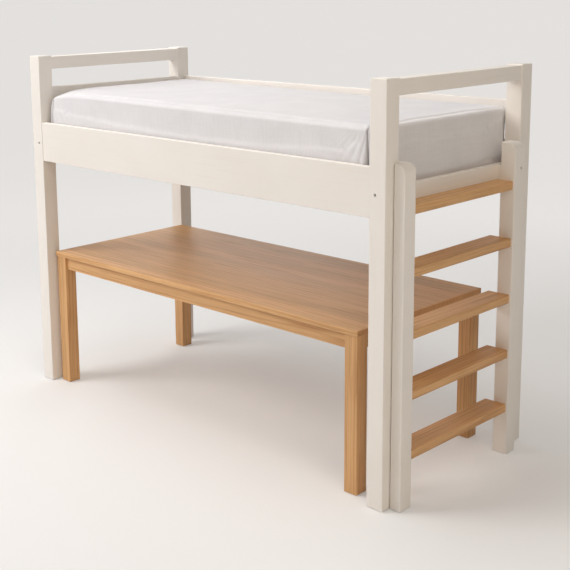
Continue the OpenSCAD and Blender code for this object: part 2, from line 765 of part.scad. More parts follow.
module leg(ladder_end, back) color(oak) table_corner(ladder_end, back) difference() {
    bar_z([top_over, top_over, pad_t], [leg_w, leg_w, top_z - pad_t]);
    hanger_line() rod_x([-1, 0, 0], hanger_len, hanger_d + hole_gap);
}

module table_leg_front_head() leg(0, 0);
module table_leg_back_head() leg(0, 1);
module table_leg_front_ladder() leg(1, 0);
module table_leg_back_ladder() leg(1, 1);

module apron_screw_holes() table_corners() {
    at_bracket_screws() wood_screw_hole(small_screw_len, small_screw_d);
    at_clips() clip_screw_in_apron() wood_screw_hole(small_screw_len, small_screw_d);
}

module at_bearer_dowels() for (x = [-bearer_dowel_x, bearer_dowel_x])
    translate([table_len / 2 + x, apron_out + apron_skin, top_z - bearer_h / 2]) children();

module long_apron(back) color(oak) difference() {
    table_corner(0, back)
        bar_x([leg_in, apron_out, apron_z], [table_len - 2 * leg_in, apron_t, apron_h], soft_r);
    apron_screw_holes();
    table_corner(0, back) at_bearer_dowels() rod_y([0, -1, 0], short_dowel_len, dowel_d + hole_gap);
}

module short_apron(ladder_end) color(oak) difference() {
    table_corner(ladder_end, 0)
        bar_y([apron_out, leg_in, apron_z], [apron_t, table_dep - 2 * leg_in, apron_h], soft_r);
    apron_screw_holes();
}

module table_apron_front() long_apron(0);
module table_apron_back() long_apron(1);
module table_apron_head() short_apron(0);
module table_apron_ladder() short_apron(1);

module table_bearer() color(oak) difference() {
    table_place() bar_y([(table_len - bearer_w) / 2, apron_in, top_z - bearer_h],
                        [bearer_w, table_dep - 2 * apron_in, bearer_h], soft_r);
    for (back = [0, 1])
        table_corner(0, back) at_bearer_dowels() rod_y([0, 0, 0], short_dowel_len + 1, dowel_d + hole_gap);
}

module bearer_dowels() color(pine) for (back = [0, 1])
    table_corner(0, back) at_bearer_dowels() rod_y([0, 0, 0], short_dowel_len, dowel_d);

// folded steel bracket: a tab on each apron, and a bridge across the corner of the leg
module table_corner_brackets() color(steel) table_corners() difference() {
    fold = bracket_foot + plate_t * (sqrt(2) - 1);
    translate([0, 0, bracket_z]) linear_extrude(plate_h) polygon([
        [bracket_end, apron_in], [bracket_foot, apron_in], [apron_in, bracket_foot], [apron_in, bracket_end],
        [apron_in + plate_t, bracket_end], [apron_in + plate_t, fold],
        [fold, apron_in + plate_t], [bracket_end, apron_in + plate_t]
    ]);
    hanger_line() rod_x([0, 0, 0], hanger_len, hanger_d + hole_gap);
    at_bracket_screws() wood_screw_hole(small_screw_len, small_screw_d);
}

module table_hanger_bolts() color(steel) table_corners() hanger_line() rod_x([0, 0, 0], hanger_len, hanger_d);

module table_hanger_nuts() color(steel) table_corners() hanger_line() difference() {
    translate([bracket_at, 0, 0]) rotate([0, 90, 0]) cylinder(d = hanger_nut_d, h = hanger_nut_t, $fn = 6);
    rod_x([0, 0, 0], hanger_len, hanger_d + hole_gap);
}

module bracket_screws() color(steel) table_corners()
    at_bracket_screws() wood_screw(small_screw_len, small_screw_d);

// angle clips that hold the top to the aprons
module table_top_clips() color(steel) table_corners() at_clips() difference() {
    translate([-clip_w / 2, 0, 0]) {
        translate([0, 0, -clip_leg]) cube([clip_w, plate_t, clip_leg]);
        translate([0, 0, -plate_t]) cube([clip_w, clip_leg, plate_t]);
    }
    clip_screw_in_top() wood_screw_hole(clip_screw_len, small_screw_d);
    clip_screw_in_apron() wood_screw_hole(small_screw_len, small_screw_d);
}

module clip_screws() color(steel) table_corners() at_clips() {
    clip_screw_in_top() wood_screw(clip_screw_len, small_screw_d);
    clip_screw_in_apron() wood_screw(small_screw_len, small_screw_d);
}

module table_felt_pads() color(felt) table_corners()
    rod_z([top_over + leg_w / 2, top_over + leg_w / 2, 0], pad_t, table_pad_d);

post_front_head();
post_back_head();
post_front_ladder();
post_back_ladder();
side_rail_front();
side_rail_back();
back_guard_rail();
head_guard_rail();
head_lower_rail();
ladder_end_lower_rail();
head_top_rail();
ladder_end_top_rail();
slat_ledge_front();
slat_ledge_back();
ledge_screws();
bed_slats();
slat_tapes();
slat_screws();
rail_dowels();
guard_dowels();
top_rail_dowels();
rail_studs();
stud_barrel_nuts();
end_rail_bolts();
end_rail_barrel_nuts();
post_felt_pads();
mattress();
fitted_sheet();
ladder_stile_front();
ladder_stile_back();
ladder_rung_1();
ladder_rung_2();
ladder_rung_3();
ladder_rung_4();
ladder_rung_5();
rung_dowels();
ladder_spacer_front();
ladder_spacer_back();
ladder_screws();
ladder_bolt();
ladder_bolt_insert();
ladder_felt_pads();
table_top();
table_leg_front_head();
table_leg_back_head();
table_leg_front_ladder();
table_leg_back_ladder();
table_apron_front();
table_apron_back();
table_apron_head();
table_apron_ladder();
table_bearer();
bearer_dowels();
table_corner_brackets();
table_hanger_bolts();
table_hanger_nuts();
bracket_screws();
table_top_clips();
clip_screws();
table_felt_pads();
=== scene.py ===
"""Cabin bed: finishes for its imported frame, a foam mattress, a fitted sheet, and a plain stage."""

import math
import random

import bpy
import numpy as np
from bpy.props import FloatProperty, FloatVectorProperty, IntProperty, PointerProperty
from mathutils import Matrix, Vector


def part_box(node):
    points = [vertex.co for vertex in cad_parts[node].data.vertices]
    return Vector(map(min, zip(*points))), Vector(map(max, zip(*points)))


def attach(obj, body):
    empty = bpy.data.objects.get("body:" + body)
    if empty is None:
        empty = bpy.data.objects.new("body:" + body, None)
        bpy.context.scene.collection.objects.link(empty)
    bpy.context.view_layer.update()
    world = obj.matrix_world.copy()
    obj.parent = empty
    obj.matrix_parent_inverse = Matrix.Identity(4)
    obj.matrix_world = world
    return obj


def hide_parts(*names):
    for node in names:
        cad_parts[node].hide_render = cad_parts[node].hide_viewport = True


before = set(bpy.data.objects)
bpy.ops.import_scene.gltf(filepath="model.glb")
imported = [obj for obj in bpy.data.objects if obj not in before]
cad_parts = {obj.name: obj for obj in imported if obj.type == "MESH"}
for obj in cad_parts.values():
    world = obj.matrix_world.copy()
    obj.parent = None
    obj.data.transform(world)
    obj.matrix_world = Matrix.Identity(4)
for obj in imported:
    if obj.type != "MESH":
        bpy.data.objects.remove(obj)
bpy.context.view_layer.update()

bl_info = {
    "name": "Cabin bed",
    "version": (1, 0, 0),
    "blender": (4, 5, 0),
    "location": "View3D > Sidebar > Cabin bed",
    "description": "Finishes the cabin bed and makes its mattress, fitted sheet and stage",
    "category": "Object",
}

MM = 0.001
WORN_REACH = 0.28    # how far the worn corner of the mattress is felt, in plan
WORN_PULL = 0.25     # how far that corner draws in, as a share of how far it hangs down
ABOVE = 0.2 * MM     # the mattress and its sheet stay this far above the bottom of their boxes

# Nodes by finish. A node's grain runs along its longest side, unless GRAIN says otherwise: the
# node of the slats is longest across them.
PAINTED = (
    "post_front_head", "post_back_head", "post_front_ladder", "post_back_ladder",
    "side_rail_front", "side_rail_back", "back_guard_rail", "head_guard_rail",
    "head_lower_rail", "ladder_end_lower_rail", "head_top_rail", "ladder_end_top_rail",
    "ladder_stile_front", "ladder_stile_back", "ladder_spacer_front", "ladder_spacer_back",
)
OAK = (
    "ladder_rung_1", "ladder_rung_2", "ladder_rung_3", "ladder_rung_4", "ladder_rung_5",
    "table_top", "table_leg_front_head", "table_leg_back_head", "table_leg_front_ladder",
    "table_leg_back_ladder", "table_apron_front", "table_apron_back", "table_apron_head",
    "table_apron_ladder", "table_bearer",
)
PINE = ("slat_ledge_front", "slat_ledge_back", "bed_slats")
BEECH = ("rail_dowels", "guard_dowels", "top_rail_dowels", "rung_dowels", "bearer_dowels")
ZINC = (
    "ledge_screws", "slat_screws", "rail_studs", "stud_barrel_nuts", "end_rail_bolts",
    "end_rail_barrel_nuts", "ladder_screws", "ladder_bolt", "ladder_bolt_insert",
    "table_corner_brackets", "table_hanger_bolts", "table_hanger_nuts", "bracket_screws",
    "table_top_clips", "clip_screws",
)
FELT = ("post_felt_pads", "ladder_felt_pads", "table_felt_pads")
GRAIN = {"bed_slats": 1}


def linear(hex_colour):
    """An sRGB hex colour as the linear values that Blender's sockets take."""
    parts = [int(hex_colour[i:i + 2], 16) / 255 for i in (1, 3, 5)]
    return [c / 12.92 if c <= 0.04045 else ((c + 0.055) / 1.055) ** 2.4 for c in parts] + [1.0]


def add(tree, kind, values=None, links=None, stops=None, **settings):
    """Adds one node with its settings, its sockets' values and links, and a ramp's colour stops."""
    made = tree.nodes.new("ShaderNode" + kind)
    for name, value in settings.items():
        setattr(made, name, value)
    for name, value in (values or {}).items():
        made.inputs[name].default_value = value
    for name, source in (links or {}).items():
        tree.links.new(source, made.inputs[name])
    for i, (place, colour) in enumerate(stops or ()):
        ramp = made.color_ramp.elements
        stop = ramp[i] if i < 2 else ramp.new(place)
        stop.position, stop.color = place, colour
    return made


def new_material(name):
    """An empty node material with its output, and its object coordinates in metres."""
    made = bpy.data.materials.new(name)
    made.use_nodes = True
    tree = made.node_tree
    tree.nodes.clear()
    return made, tree, add(tree, "OutputMaterial"), add(tree, "TexCoord").outputs["Object"]


def stretched(axis, along):
    """Scale of a pattern that is drawn out along one axis, by 1 / along."""
    return [along if i == axis else 1.0 for i in range(3)]


def satin_enamel(axis):
    """Satin water-based enamel, rolled on planed pine.

    It looks soft and even, a warm off-white, with a broad dull highlight. The grain of the pine
    stands through as faint lines, and the arrises are painted a little lighter: a painted highlight.
    """
    looks = bpy.context.scene.cabin_bed_finishes
    made, tree, out, place = new_material("satin_enamel_on_pine_" + "xyz"[axis])
    # lines of the pine's grain 7 mm apart and 0.2 m long
    drawn = add(tree, "Mapping", {"Scale": stretched(axis, 0.035)}, {"Vector": place})
    grain = add(tree, "TexNoise", {"Scale": 0.5 / looks.pine_line, "Detail": 3.0, "Roughness": 0.6},
                {"Vector": drawn.outputs[0]})
    # the roller leaves a stipple; it is 1 mm wide in the real coat, and 5 mm here so that it shows
    stipple = add(tree, "TexNoise", {"Scale": 1 / (5 * MM), "Detail": 2.0}, {"Vector": place})
    # the coat is thicker in patches about half a metre across
    cloudy = add(tree, "TexNoise", {"Scale": 2.2, "Detail": 2.0}, {"Vector": place})
    # arrises, where the rounded normal leaves the true one, get a painted highlight: a lighter colour
    rounded = add(tree, "Bevel", {"Radius": 3 * MM}, samples=6)
    true = add(tree, "NewGeometry")
    same = add(tree, "VectorMath", links={0: rounded.outputs[0], 1: true.outputs["Normal"]},
               operation="DOT_PRODUCT")
    arris_highlight = add(tree, "MapRange", {"From Min": 0.995, "From Max": 0.90, "To Max": 0.5},
                {"Value": same.outputs["Value"]})
    tone = add(tree, "MapRange", {"From Min": 0.3, "From Max": 0.7, "To Min": 0.0, "To Max": 1.0},
               {"Value": cloudy.outputs["Fac"]})
    body = add(tree, "Mix", {6: list(looks.paint), 7: list(looks.paint_shade)},
               {0: tone.outputs[0]}, data_type="RGBA")
    line = add(tree, "MapRange", {"From Min": 0.56, "From Max": 0.74, "To Max": 0.17},
               {"Value": grain.outputs["Fac"]})
    lined = add(tree, "Mix", {7: linear("#DDD2C1")}, {0: line.outputs[0], 6: body.outputs[2]},
                data_type="RGBA")
    # painted highlight: the arrises are mixed towards a lighter colour
    highlighted = add(tree, "Mix", {7: linear("#F7F3EC")}, {0: arris_highlight.outputs[0], 6: lined.outputs[2]},
                data_type="RGBA")
    gloss = add(tree, "MapRange", {"To Min": 0.40, "To Max": 0.56},
                {"Value": stipple.outputs["Fac"]})
    low = add(tree, "Bump", {"Strength": 0.35, "Distance": 0.12 * MM},
              {"Height": stipple.outputs["Fac"]})
    high = add(tree, "Bump", {"Strength": 0.25, "Distance": 0.3 * MM},
               {"Height": grain.outputs["Fac"], "Normal": low.outputs[0]})
    shader = add(tree, "BsdfPrincipled", {"IOR": 1.48},
                 {"Base Color": highlighted.outputs[2], "Roughness": gloss.outputs[0],
                  "Normal": high.outputs[0]})
    tree.links.new(shader.outputs[0], out.inputs[0])
    return made


def planed_wood(name, axis, early, late, streak, ring, roughness, knots=False, staves=None):
    """Planed wood: pale early wood, darker late wood in wandering rings, and fine long streaks.

    The rings show as straight lines where they meet a face squarely and as tall arches where
    they graze it. End grain is darker, because it drinks more oil.
    """
    made, tree, out, place = new_material(name + "_" + "xyz"[axis])
    drawn = add(tree, "Mapping", {"Scale": stretched(axis, 0.045)}, {"Vector": place})
    wander = add(tree, "TexNoise", {"Scale": 5.5, "Detail": 3.0, "Roughness": 0.45},
                 {"Vector": drawn.outputs[0]})
    # distance across the board, on a line square to the grain, with rings that wander a little
    lean = [(0.0, 0.94, 0.34), (0.93, 0.0, 0.37), (0.83, 0.56, 0.0)][axis]
    across = add(tree, "VectorMath", {1: lean}, {0: place}, operation="DOT_PRODUCT")
    bent = add(tree, "Math", {1: 0.16}, {0: wander.outputs["Fac"], 2: across.outputs["Value"]},
               operation="MULTIPLY_ADD")
    turns = add(tree, "Math", {1: 2 * math.pi / ring}, {0: bent.outputs[0]}, operation="MULTIPLY")
    wave = add(tree, "Math", links={0: turns.outputs[0]}, operation="SINE")
    rings = add(tree, "ValToRGB", links={"Fac": wave.outputs[0]},
                stops=[(0.0, (0, 0, 0, 1)), (1.0, (1, 1, 1, 1)), (0.55, (0.12, 0.12, 0.12, 1))])
    # streaks of pores; they are under 1 mm wide in the real wood, and 6.5 mm here so they show
    thin = add(tree, "Mapping", {"Scale": stretched(axis, 0.022)}, {"Vector": place})
    pores = add(tree, "TexNoise", {"Scale": 1 / (6.5 * MM), "Detail": 3.0, "Roughness": 0.65},
                {"Vector": thin.outputs[0]})
    # broad bands, 70 mm across, that are a little lighter or darker
    broad = add(tree, "TexNoise", {"Scale": 14.0, "Detail": 1.0}, {"Vector": drawn.outputs[0]})
    ring_part = add(tree, "Math", {1: 0.42}, {0: rings.outputs[0]}, operation="MULTIPLY")
    wood = add(tree, "Mix", {6: early, 7: late}, {0: ring_part.outputs[0]}, data_type="RGBA")
    streaked = add(tree, "MapRange", {"From Min": 0.47, "From Max": 0.72, "To Max": 0.62},
                   {"Value": pores.outputs["Fac"]})
    wood = add(tree, "Mix", {7: streak}, {0: streaked.outputs[0], 6: wood.outputs[2]}, data_type="RGBA")
    shift = add(tree, "MapRange", {"From Min": 0.35, "From Max": 0.65, "To Min": 0.93, "To Max": 1.07},
                {"Value": broad.outputs["Fac"]})
    value = shift.outputs[0]
    if staves:
        # glued staves, each of its own tone
        apart = add(tree, "SeparateXYZ", links={0: place})
        stave = add(tree, "Math", {1: 1 / staves}, {0: apart.outputs[1]}, operation="MULTIPLY")
        number = add(tree, "Math", links={0: stave.outputs[0]}, operation="FLOOR")
        chance = add(tree, "TexWhiteNoise", links={"W": number.outputs[0]}, noise_dimensions="1D")
        tone = add(tree, "MapRange", {"To Min": 0.955, "To Max": 1.045},
                   {"Value": chance.outputs["Value"]})
        value = add(tree, "Math", links={0: value, 1: tone.outputs[0]},
                    operation="MULTIPLY").outputs[0]
    wood = add(tree, "HueSaturation", links={"Value": value, "Color": wood.outputs[2]})
    colour = wood.outputs[0]
    if knots:
        # small round knots, 15 to 25 mm wide, 0.24 m apart across the boards and 0.43 m along
        cells = add(tree, "Mapping", {"Scale": stretched(axis, 0.55)}, {"Vector": place})
        spots = add(tree, "TexVoronoi", {"Scale": 4.2, "Randomness": 1.0}, {"Vector": cells.outputs[0]})
        near = add(tree, "MapRange", {"From Min": 0.055, "From Max": 0.03, "To Max": 0.85},
                   {"Value": spots.outputs["Distance"]})
        colour = add(tree, "Mix", {7: linear("#8A5A2E")}, {0: near.outputs[0], 6: colour},
                     data_type="RGBA").outputs[2]
    # end grain faces along the axis of the board
    facing = add(tree, "NewGeometry")
    ends = add(tree, "VectorMath", {1: [float(i == axis) for i in range(3)]},
               {0: facing.outputs["True Normal"]}, operation="DOT_PRODUCT")
    ends = add(tree, "Math", links={0: ends.outputs["Value"]}, operation="ABSOLUTE")
    ends = add(tree, "MapRange", {"From Min": 0.8, "From Max": 0.95, "To Max": 0.45},
               {"Value": ends.outputs[0]})
    colour = add(tree, "Mix", {7: streak}, {0: ends.outputs[0], 6: colour}, data_type="RGBA").outputs[2]
    gloss = add(tree, "MapRange", {"To Min": roughness - 0.06, "To Max": roughness + 0.10},
                {"Value": pores.outputs["Fac"]})
    pits = add(tree, "Bump", {"Strength": 0.5, "Distance": 0.25 * MM}, {"Height": pores.outputs["Fac"]},
               invert=True)
    relief = add(tree, "Bump", {"Strength": 0.3, "Distance": 0.15 * MM},
                 {"Height": rings.outputs[0], "Normal": pits.outputs[0]})
    shader = add(tree, "BsdfPrincipled", {"IOR": 1.42},
                 {"Base Color": colour, "Roughness": gloss.outputs[0], "Normal": relief.outputs[0]})
    tree.links.new(shader.outputs[0], out.inputs[0])
    return made


def oiled_oak(axis, staves=None):
    """Oak, planed, sanded and oiled: honey brown, straight grained, with a low satin sheen."""
    looks = bpy.context.scene.cabin_bed_finishes
    name = "oiled_oak_staves" if staves else "oiled_oak"
    return planed_wood(name, axis, list(looks.oak), list(looks.oak_late), list(looks.oak_streak),
                       looks.oak_ring, 0.46, staves=staves)


def bare_pine(axis):
    """Pine, planed and left bare: pale yellow with soft amber rings and small round knots."""
    return planed_wood("bare_pine", axis, linear("#E3C898"), linear("#CFA468"), linear("#C79A5C"),
                       9 * MM, 0.55, knots=True)


def turned_beech(axis):
    """Beech dowel, turned and fluted: even pinkish brown with short flecks."""
    return planed_wood("turned_beech", axis, linear("#D8B48A"), linear("#C49A6C"), linear("#B98C5E"),
                       5 * MM, 0.5)


def zinc_plate():
    """Steel, pressed or rolled, with bright zinc plate: cool grey, slightly blotched, dull gloss."""
    made, tree, out, place = new_material("zinc_plated_steel")
    # zinc crystals 3 mm across
    blotch = add(tree, "TexVoronoi", {"Scale": 1 / (3 * MM)}, {"Vector": place})
    colour = add(tree, "Mix", {6: linear("#C9CBCC"), 7: linear("#AEB1B4")},
                 {0: blotch.outputs["Distance"]}, data_type="RGBA")
    gloss = add(tree, "MapRange", {"To Min": 0.28, "To Max": 0.42},
                {"Value": blotch.outputs["Distance"]})
    shader = add(tree, "BsdfPrincipled", {"Metallic": 1.0},
                 {"Base Color": colour.outputs[2], "Roughness": gloss.outputs[0]})
    tree.links.new(shader.outputs[0], out.inputs[0])
    return made


def pressed_felt():
    """Wool felt, pressed: dark brown grey, without gloss, with a fibrous broken surface."""
    made, tree, out, place = new_material("pressed_felt")
    # tufts of fibre about 1 mm across
    fibres = add(tree, "TexNoise", {"Scale": 1 / (1.2 * MM), "Detail": 5.0, "Roughness": 0.8},
                 {"Vector": place})
    colour = add(tree, "ValToRGB", links={"Fac": fibres.outputs["Fac"]},
                 stops=[(0.3, linear("#2E2B27")), (0.75, linear("#6A645B"))])
    relief = add(tree, "Bump", {"Strength": 0.8, "Distance": 0.5 * MM},
                 {"Height": fibres.outputs["Fac"]})
    shader = add(tree, "BsdfPrincipled",
                 {"Roughness": 0.95, "Sheen Weight": 0.4, "Sheen Roughness": 0.6},
                 {"Base Color": colour.outputs[0], "Normal": relief.outputs[0]})
    tree.links.new(shader.outputs[0], out.inputs[0])
    return made


def woven_webbing():
    """Polyester tape, woven: ecru, ribbed across its width, with a faint shine on the ribs."""
    made, tree, out, place = new_material("woven_webbing")
    # ribs across the tape, 2 mm apart in the real one and 6 mm here so that they show, and cords
    # along it, 3 mm apart and 9 mm here
    ribs = add(tree, "TexWave", {"Scale": 0.05 / MM, "Distortion": 0.4}, {"Vector": place},
               bands_direction="X")
    cords = add(tree, "TexWave", {"Scale": 0.035 / MM, "Distortion": 0.3}, {"Vector": place},
                bands_direction="Y")
    both = add(tree, "Math", links={0: ribs.outputs["Fac"], 1: cords.outputs["Fac"]},
               operation="MULTIPLY")
    colour = add(tree, "Mix", {6: linear("#A99E8B"), 7: linear("#E2DACA")}, {0: both.outputs[0]},
                 data_type="RGBA")
    relief = add(tree, "Bump", {"Strength": 0.6, "Distance": 0.4 * MM}, {"Height": both.outputs[0]})
    shader = add(tree, "BsdfPrincipled", {"Roughness": 0.8, "Sheen Weight": 0.3},
                 {"Base Color": colour.outputs[2], "Normal": relief.outputs[0]})
    tree.links.new(shader.outputs[0], out.inputs[0])
    return made


def thread_streaks(tree, place, axis, width, length, offset):
    """Noise drawn out along one axis, as thick and thin threads are."""
    scale = [width / length if i == axis else 1.0 for i in range(3)]
    drawn = add(tree, "Mapping", {"Scale": scale, "Location": [offset] * 3}, {"Vector": place})
    return add(tree, "TexNoise", {"Scale": 1 / width, "Detail": 2.0, "Roughness": 0.6},
               {"Vector": drawn.outputs[0]}).outputs["Fac"]


def slubbed_cotton():
    """Cotton and linen, plain woven and washed: white, matt, with thick and thin slubbed threads."""
    looks = bpy.context.scene.cabin_bed_finishes
    made, tree, out, place = new_material("slubbed_cotton_sheet")
    # slubs are 0.5 mm wide in the cloth, and drawn 5 mm wide here, at which they just show
    threads = [thread_streaks(tree, place, axis, width, length, axis * 3.7)
               for axis, width, length in ((0, 5 * MM, 0.10), (1, 5 * MM, 0.16), (2, 5 * MM, 0.16))]
    # the weft along the bed is the finer thread, so it shows half as much
    sum_two = add(tree, "Math", {1: 0.5}, {0: threads[0], 2: threads[1]}, operation="MULTIPLY_ADD")
    weave = add(tree, "Math", links={0: sum_two.outputs[0], 1: threads[2]}, operation="ADD")
    cloudy = add(tree, "TexNoise", {"Scale": 7.0, "Detail": 2.0}, {"Vector": place})
    weave_part = add(tree, "MapRange", {"From Min": 0.95, "From Max": 1.60}, {"Value": weave.outputs[0]})
    colour = add(tree, "Mix", {6: list(looks.sheet_shade), 7: list(looks.sheet)},
                 {0: weave_part.outputs[0]}, data_type="RGBA")
    worn = add(tree, "MapRange", {"From Min": 0.3, "From Max": 0.7, "To Min": 0.97, "To Max": 1.02},
               {"Value": cloudy.outputs["Fac"]})
    colour = add(tree, "HueSaturation", links={"Value": worn.outputs[0], "Color": colour.outputs[2]})
    # each sewn corner seam lies in a fold: its line and a painted shade of the fold are mixed in as dark
    # grey
    seam = add(tree, "Attribute", attribute_name="seam")
    grey = add(tree, "Math", {1: 0.75}, {0: seam.outputs["Fac"]}, operation="MULTIPLY")
    colour = add(tree, "Mix", {7: linear("#8A817A")}, {0: grey.outputs[0], 6: colour.outputs[0]},
                 data_type="RGBA")
    relief = add(tree, "Bump", {"Strength": 0.4, "Distance": 0.35 * MM}, {"Height": weave.outputs[0]})
    shader = add(tree, "BsdfPrincipled",
                 {"Roughness": 0.88, "Sheen Weight": 0.15, "Sheen Roughness": 0.5},
                 {"Base Color": colour.outputs[2], "Normal": relief.outputs[0]})
    tree.links.new(shader.outputs[0], out.inputs[0])
    return made


def quilted_ticking():
    """Mattress ticking, a thick knitted cover quilted in bands: ivory, soft, with painted shade in its
    valleys.
    """
    made, tree, out, place = new_material("quilted_ticking")
    # quilted bands about 90 mm apart on the top
    bands = add(tree, "TexWave", {"Scale": 0.005 / MM, "Distortion": 0.6, "Detail": 1.0},
                {"Vector": place}, bands_direction="DIAGONAL")
    # loops of the knit, 1.5 mm across in the cover, are drawn 4 mm across to show
    knit = add(tree, "TexVoronoi", {"Scale": 1 / (4 * MM)}, {"Vector": place})
    # painted shade: the quilted bands are coloured darker in their valleys, where the bump sinks
    colour = add(tree, "Mix", {6: linear("#D5D0C7"), 7: linear("#EFEBE3")}, {0: bands.outputs["Fac"]},
                 data_type="RGBA")
    low = add(tree, "Bump", {"Strength": 0.5, "Distance": 2 * MM}, {"Height": bands.outputs["Fac"]})
    high = add(tree, "Bump", {"Strength": 0.5, "Distance": 0.5 * MM},
               {"Height": knit.outputs["Distance"], "Normal": low.outputs[0]})
    shader = add(tree, "BsdfPrincipled", {"Roughness": 0.9, "Sheen Weight": 0.2},
                 {"Base Color": colour.outputs[2], "Normal": high.outputs[0]})
    tree.links.new(shader.outputs[0], out.inputs[0])
    return made


def matt_backdrop():
    """Matt paper sweep: pale warm grey, lightened for the camera but keeping the shadows."""
    stage = bpy.context.scene.cabin_bed_stage
    made, tree, out, place = new_material("matt_paper_sweep")
    # fibres of the paper, 12 mm long, in a very faint mottle
    fibre = add(tree, "TexNoise", {"Scale": 1 / (12 * MM), "Detail": 2.0}, {"Vector": place})
    tone = add(tree, "Mix", {6: list(stage.paper), 7: linear("#F8F7F7")}, {0: fibre.outputs["Fac"]},
               data_type="RGBA")
    paper = add(tree, "BsdfPrincipled", {"Roughness": 0.9}, {"Base Color": tone.outputs[2]})
    glow = add(tree, "Emission", {"Color": list(stage.paper_light), "Strength": 1.0})
    seen = add(tree, "LightPath")
    looked_at = add(tree, "Math",
                    links={0: seen.outputs["Is Camera Ray"], 1: seen.outputs["Is Glossy Ray"]},
                    operation="MAXIMUM")
    # the lift is weak round the bed, where its shadow falls, and strong from 5 m off
    far = add(tree, "VectorMath", links={0: place}, operation="LENGTH")
    lift = add(tree, "MapRange", {"From Min": 1.6, "From Max": 5.0, "To Min": stage.paper_glow_near,
                                  "To Max": stage.paper_glow},
               {"Value": far.outputs["Value"]}, interpolation_type="SMOOTHSTEP")
    part = add(tree, "Math", links={0: looked_at.outputs[0], 1: lift.outputs[0]}, operation="MULTIPLY")
    both = add(tree, "MixShader",
               links={0: part.outputs[0], 1: paper.outputs[0], 2: glow.outputs[0]})
    tree.links.new(both.outputs[0], out.inputs[0])
    return made


def finish_nodes(names, material_for_axis):
    """Gives each CAD node the material that runs along its own grain."""
    made = {}
    for name in names:
        low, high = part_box(name)
        size = high - low
        axis = GRAIN.get(name, max(range(3), key=lambda i: size[i]))
        if axis not in made:
            made[axis] = material_for_axis(axis)
        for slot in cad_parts[name].material_slots:
            slot.material = made[axis]


def mesh_object(name, points, faces, material):
    """A new smooth-shaded mesh object in the scene."""
    mesh = bpy.data.meshes.new(name)
    mesh.from_pydata([tuple(p) for p in points], [], faces)
    mesh.validate()
    mesh.polygons.foreach_set("use_smooth", [True] * len(mesh.polygons))
    mesh.materials.append(material)
    made = bpy.data.objects.new(name, mesh)
    bpy.context.scene.collection.objects.link(made)
    return made


def points_of(piece):
    """The vertices of a piece as an array of rows."""
    flat = np.empty(len(piece.data.vertices) * 3)
    piece.data.vertices.foreach_get("co", flat)
    return flat.reshape(-1, 3)


def set_points(piece, points):
    """Moves the vertices of a piece to the rows of an array."""
    piece.data.vertices.foreach_set("co", np.asarray(points, float).ravel())
    piece.data.update()


def apply_modifiers(piece):
    """Applies every modifier of a piece to its mesh."""
    evaluated = piece.evaluated_get(bpy.context.evaluated_depsgraph_get())
    mesh = bpy.data.meshes.new_from_object(evaluated)
    old = piece.data
    piece.modifiers.clear()
    piece.data = mesh
    bpy.data.meshes.remove(old)


def settle_cloth(piece, pressure, frames, pins=None, growth=None, stiffness=15.0):
    """Runs a cloth simulation without gravity, and leaves its last frame in the mesh."""
    cloth = piece.modifiers.new("cloth", "CLOTH")
    settings = cloth.settings
    settings.quality = 5
    settings.mass = 0.25
    settings.tension_stiffness = stiffness
    settings.compression_stiffness = stiffness
    settings.shear_stiffness = 5.0
    settings.bending_stiffness = 0.5
    settings.use_pressure = True
    settings.uniform_pressure_force = pressure
    settings.effector_weights.gravity = 0.0
    if pins:
        settings.vertex_group_mass = pins
    if growth:
        group, amount = growth
        settings.vertex_group_shrink = group
        settings.shrink_max = -amount
    cloth.collision_settings.use_collision = False
    cloth.point_cache.frame_start = 1
    cloth.point_cache.frame_end = frames
    scene = bpy.context.scene
    for number in range(1, frames + 1):
        scene.frame_set(number)
    apply_modifiers(piece)
    scene.frame_set(1)


def kept_near(points, rest, outwards, out_most, in_most):
    """Points held softly to a small move along the outward directions, with no other move."""
    move = np.einsum("ij,ij->i", points - rest, outwards)
    most = np.where(move > 0, out_most, in_most)
    return rest + outwards * (most * np.tanh(move / most))[:, None]


class BedFinishes(bpy.types.PropertyGroup):
    """Colours and grain of the bed's finishes."""

    paint: FloatVectorProperty(
        name="Enamel", description="Colour of the satin enamel", subtype="COLOR", size=4,
        min=0, max=1, default=linear("#EFE9E3"))
    paint_shade: FloatVectorProperty(
        name="Enamel, deeper", description="Deeper tone of the enamel where it lies thick",
        subtype="COLOR", size=4, min=0, max=1, default=linear("#EBE4DC"))
    pine_line: FloatProperty(
        name="Grain under the enamel", description="Distance between the lines that stand through",
        subtype="DISTANCE", unit="LENGTH", default=7 * MM, min=2 * MM, max=20 * MM)
    oak: FloatVectorProperty(
        name="Oak", description="Colour of the oak's early wood", subtype="COLOR", size=4,
        min=0, max=1, default=linear("#D8A975"))
    oak_late: FloatVectorProperty(
        name="Oak, late wood", description="Colour of the oak's darker rings", subtype="COLOR",
        size=4,
        min=0, max=1, default=linear("#B57D4A"))
    oak_streak: FloatVectorProperty(
        name="Oak, pores", description="Colour of the oak's open pores", subtype="COLOR", size=4,
        min=0, max=1, default=linear("#A67141"))
    oak_ring: FloatProperty(
        name="Oak rings", description="Distance between the oak's rings as they show on a face",
        subtype="DISTANCE", unit="LENGTH", default=16 * MM, min=4 * MM, max=40 * MM)
    oak_stave: FloatProperty(
        name="Table staves", description="Width of the staves that the table top is glued from",
        subtype="DISTANCE", unit="LENGTH", default=95 * MM, min=40 * MM, max=200 * MM)
    sheet: FloatVectorProperty(
        name="Sheet", description="Colour of the fitted sheet", subtype="COLOR", size=4,
        min=0, max=1, default=linear("#E3E1E3"))
    sheet_shade: FloatVectorProperty(
        name="Sheet, thin threads", description="Colour between the thick threads of the sheet",
        subtype="COLOR", size=4, min=0, max=1, default=linear("#DCD9DB"))


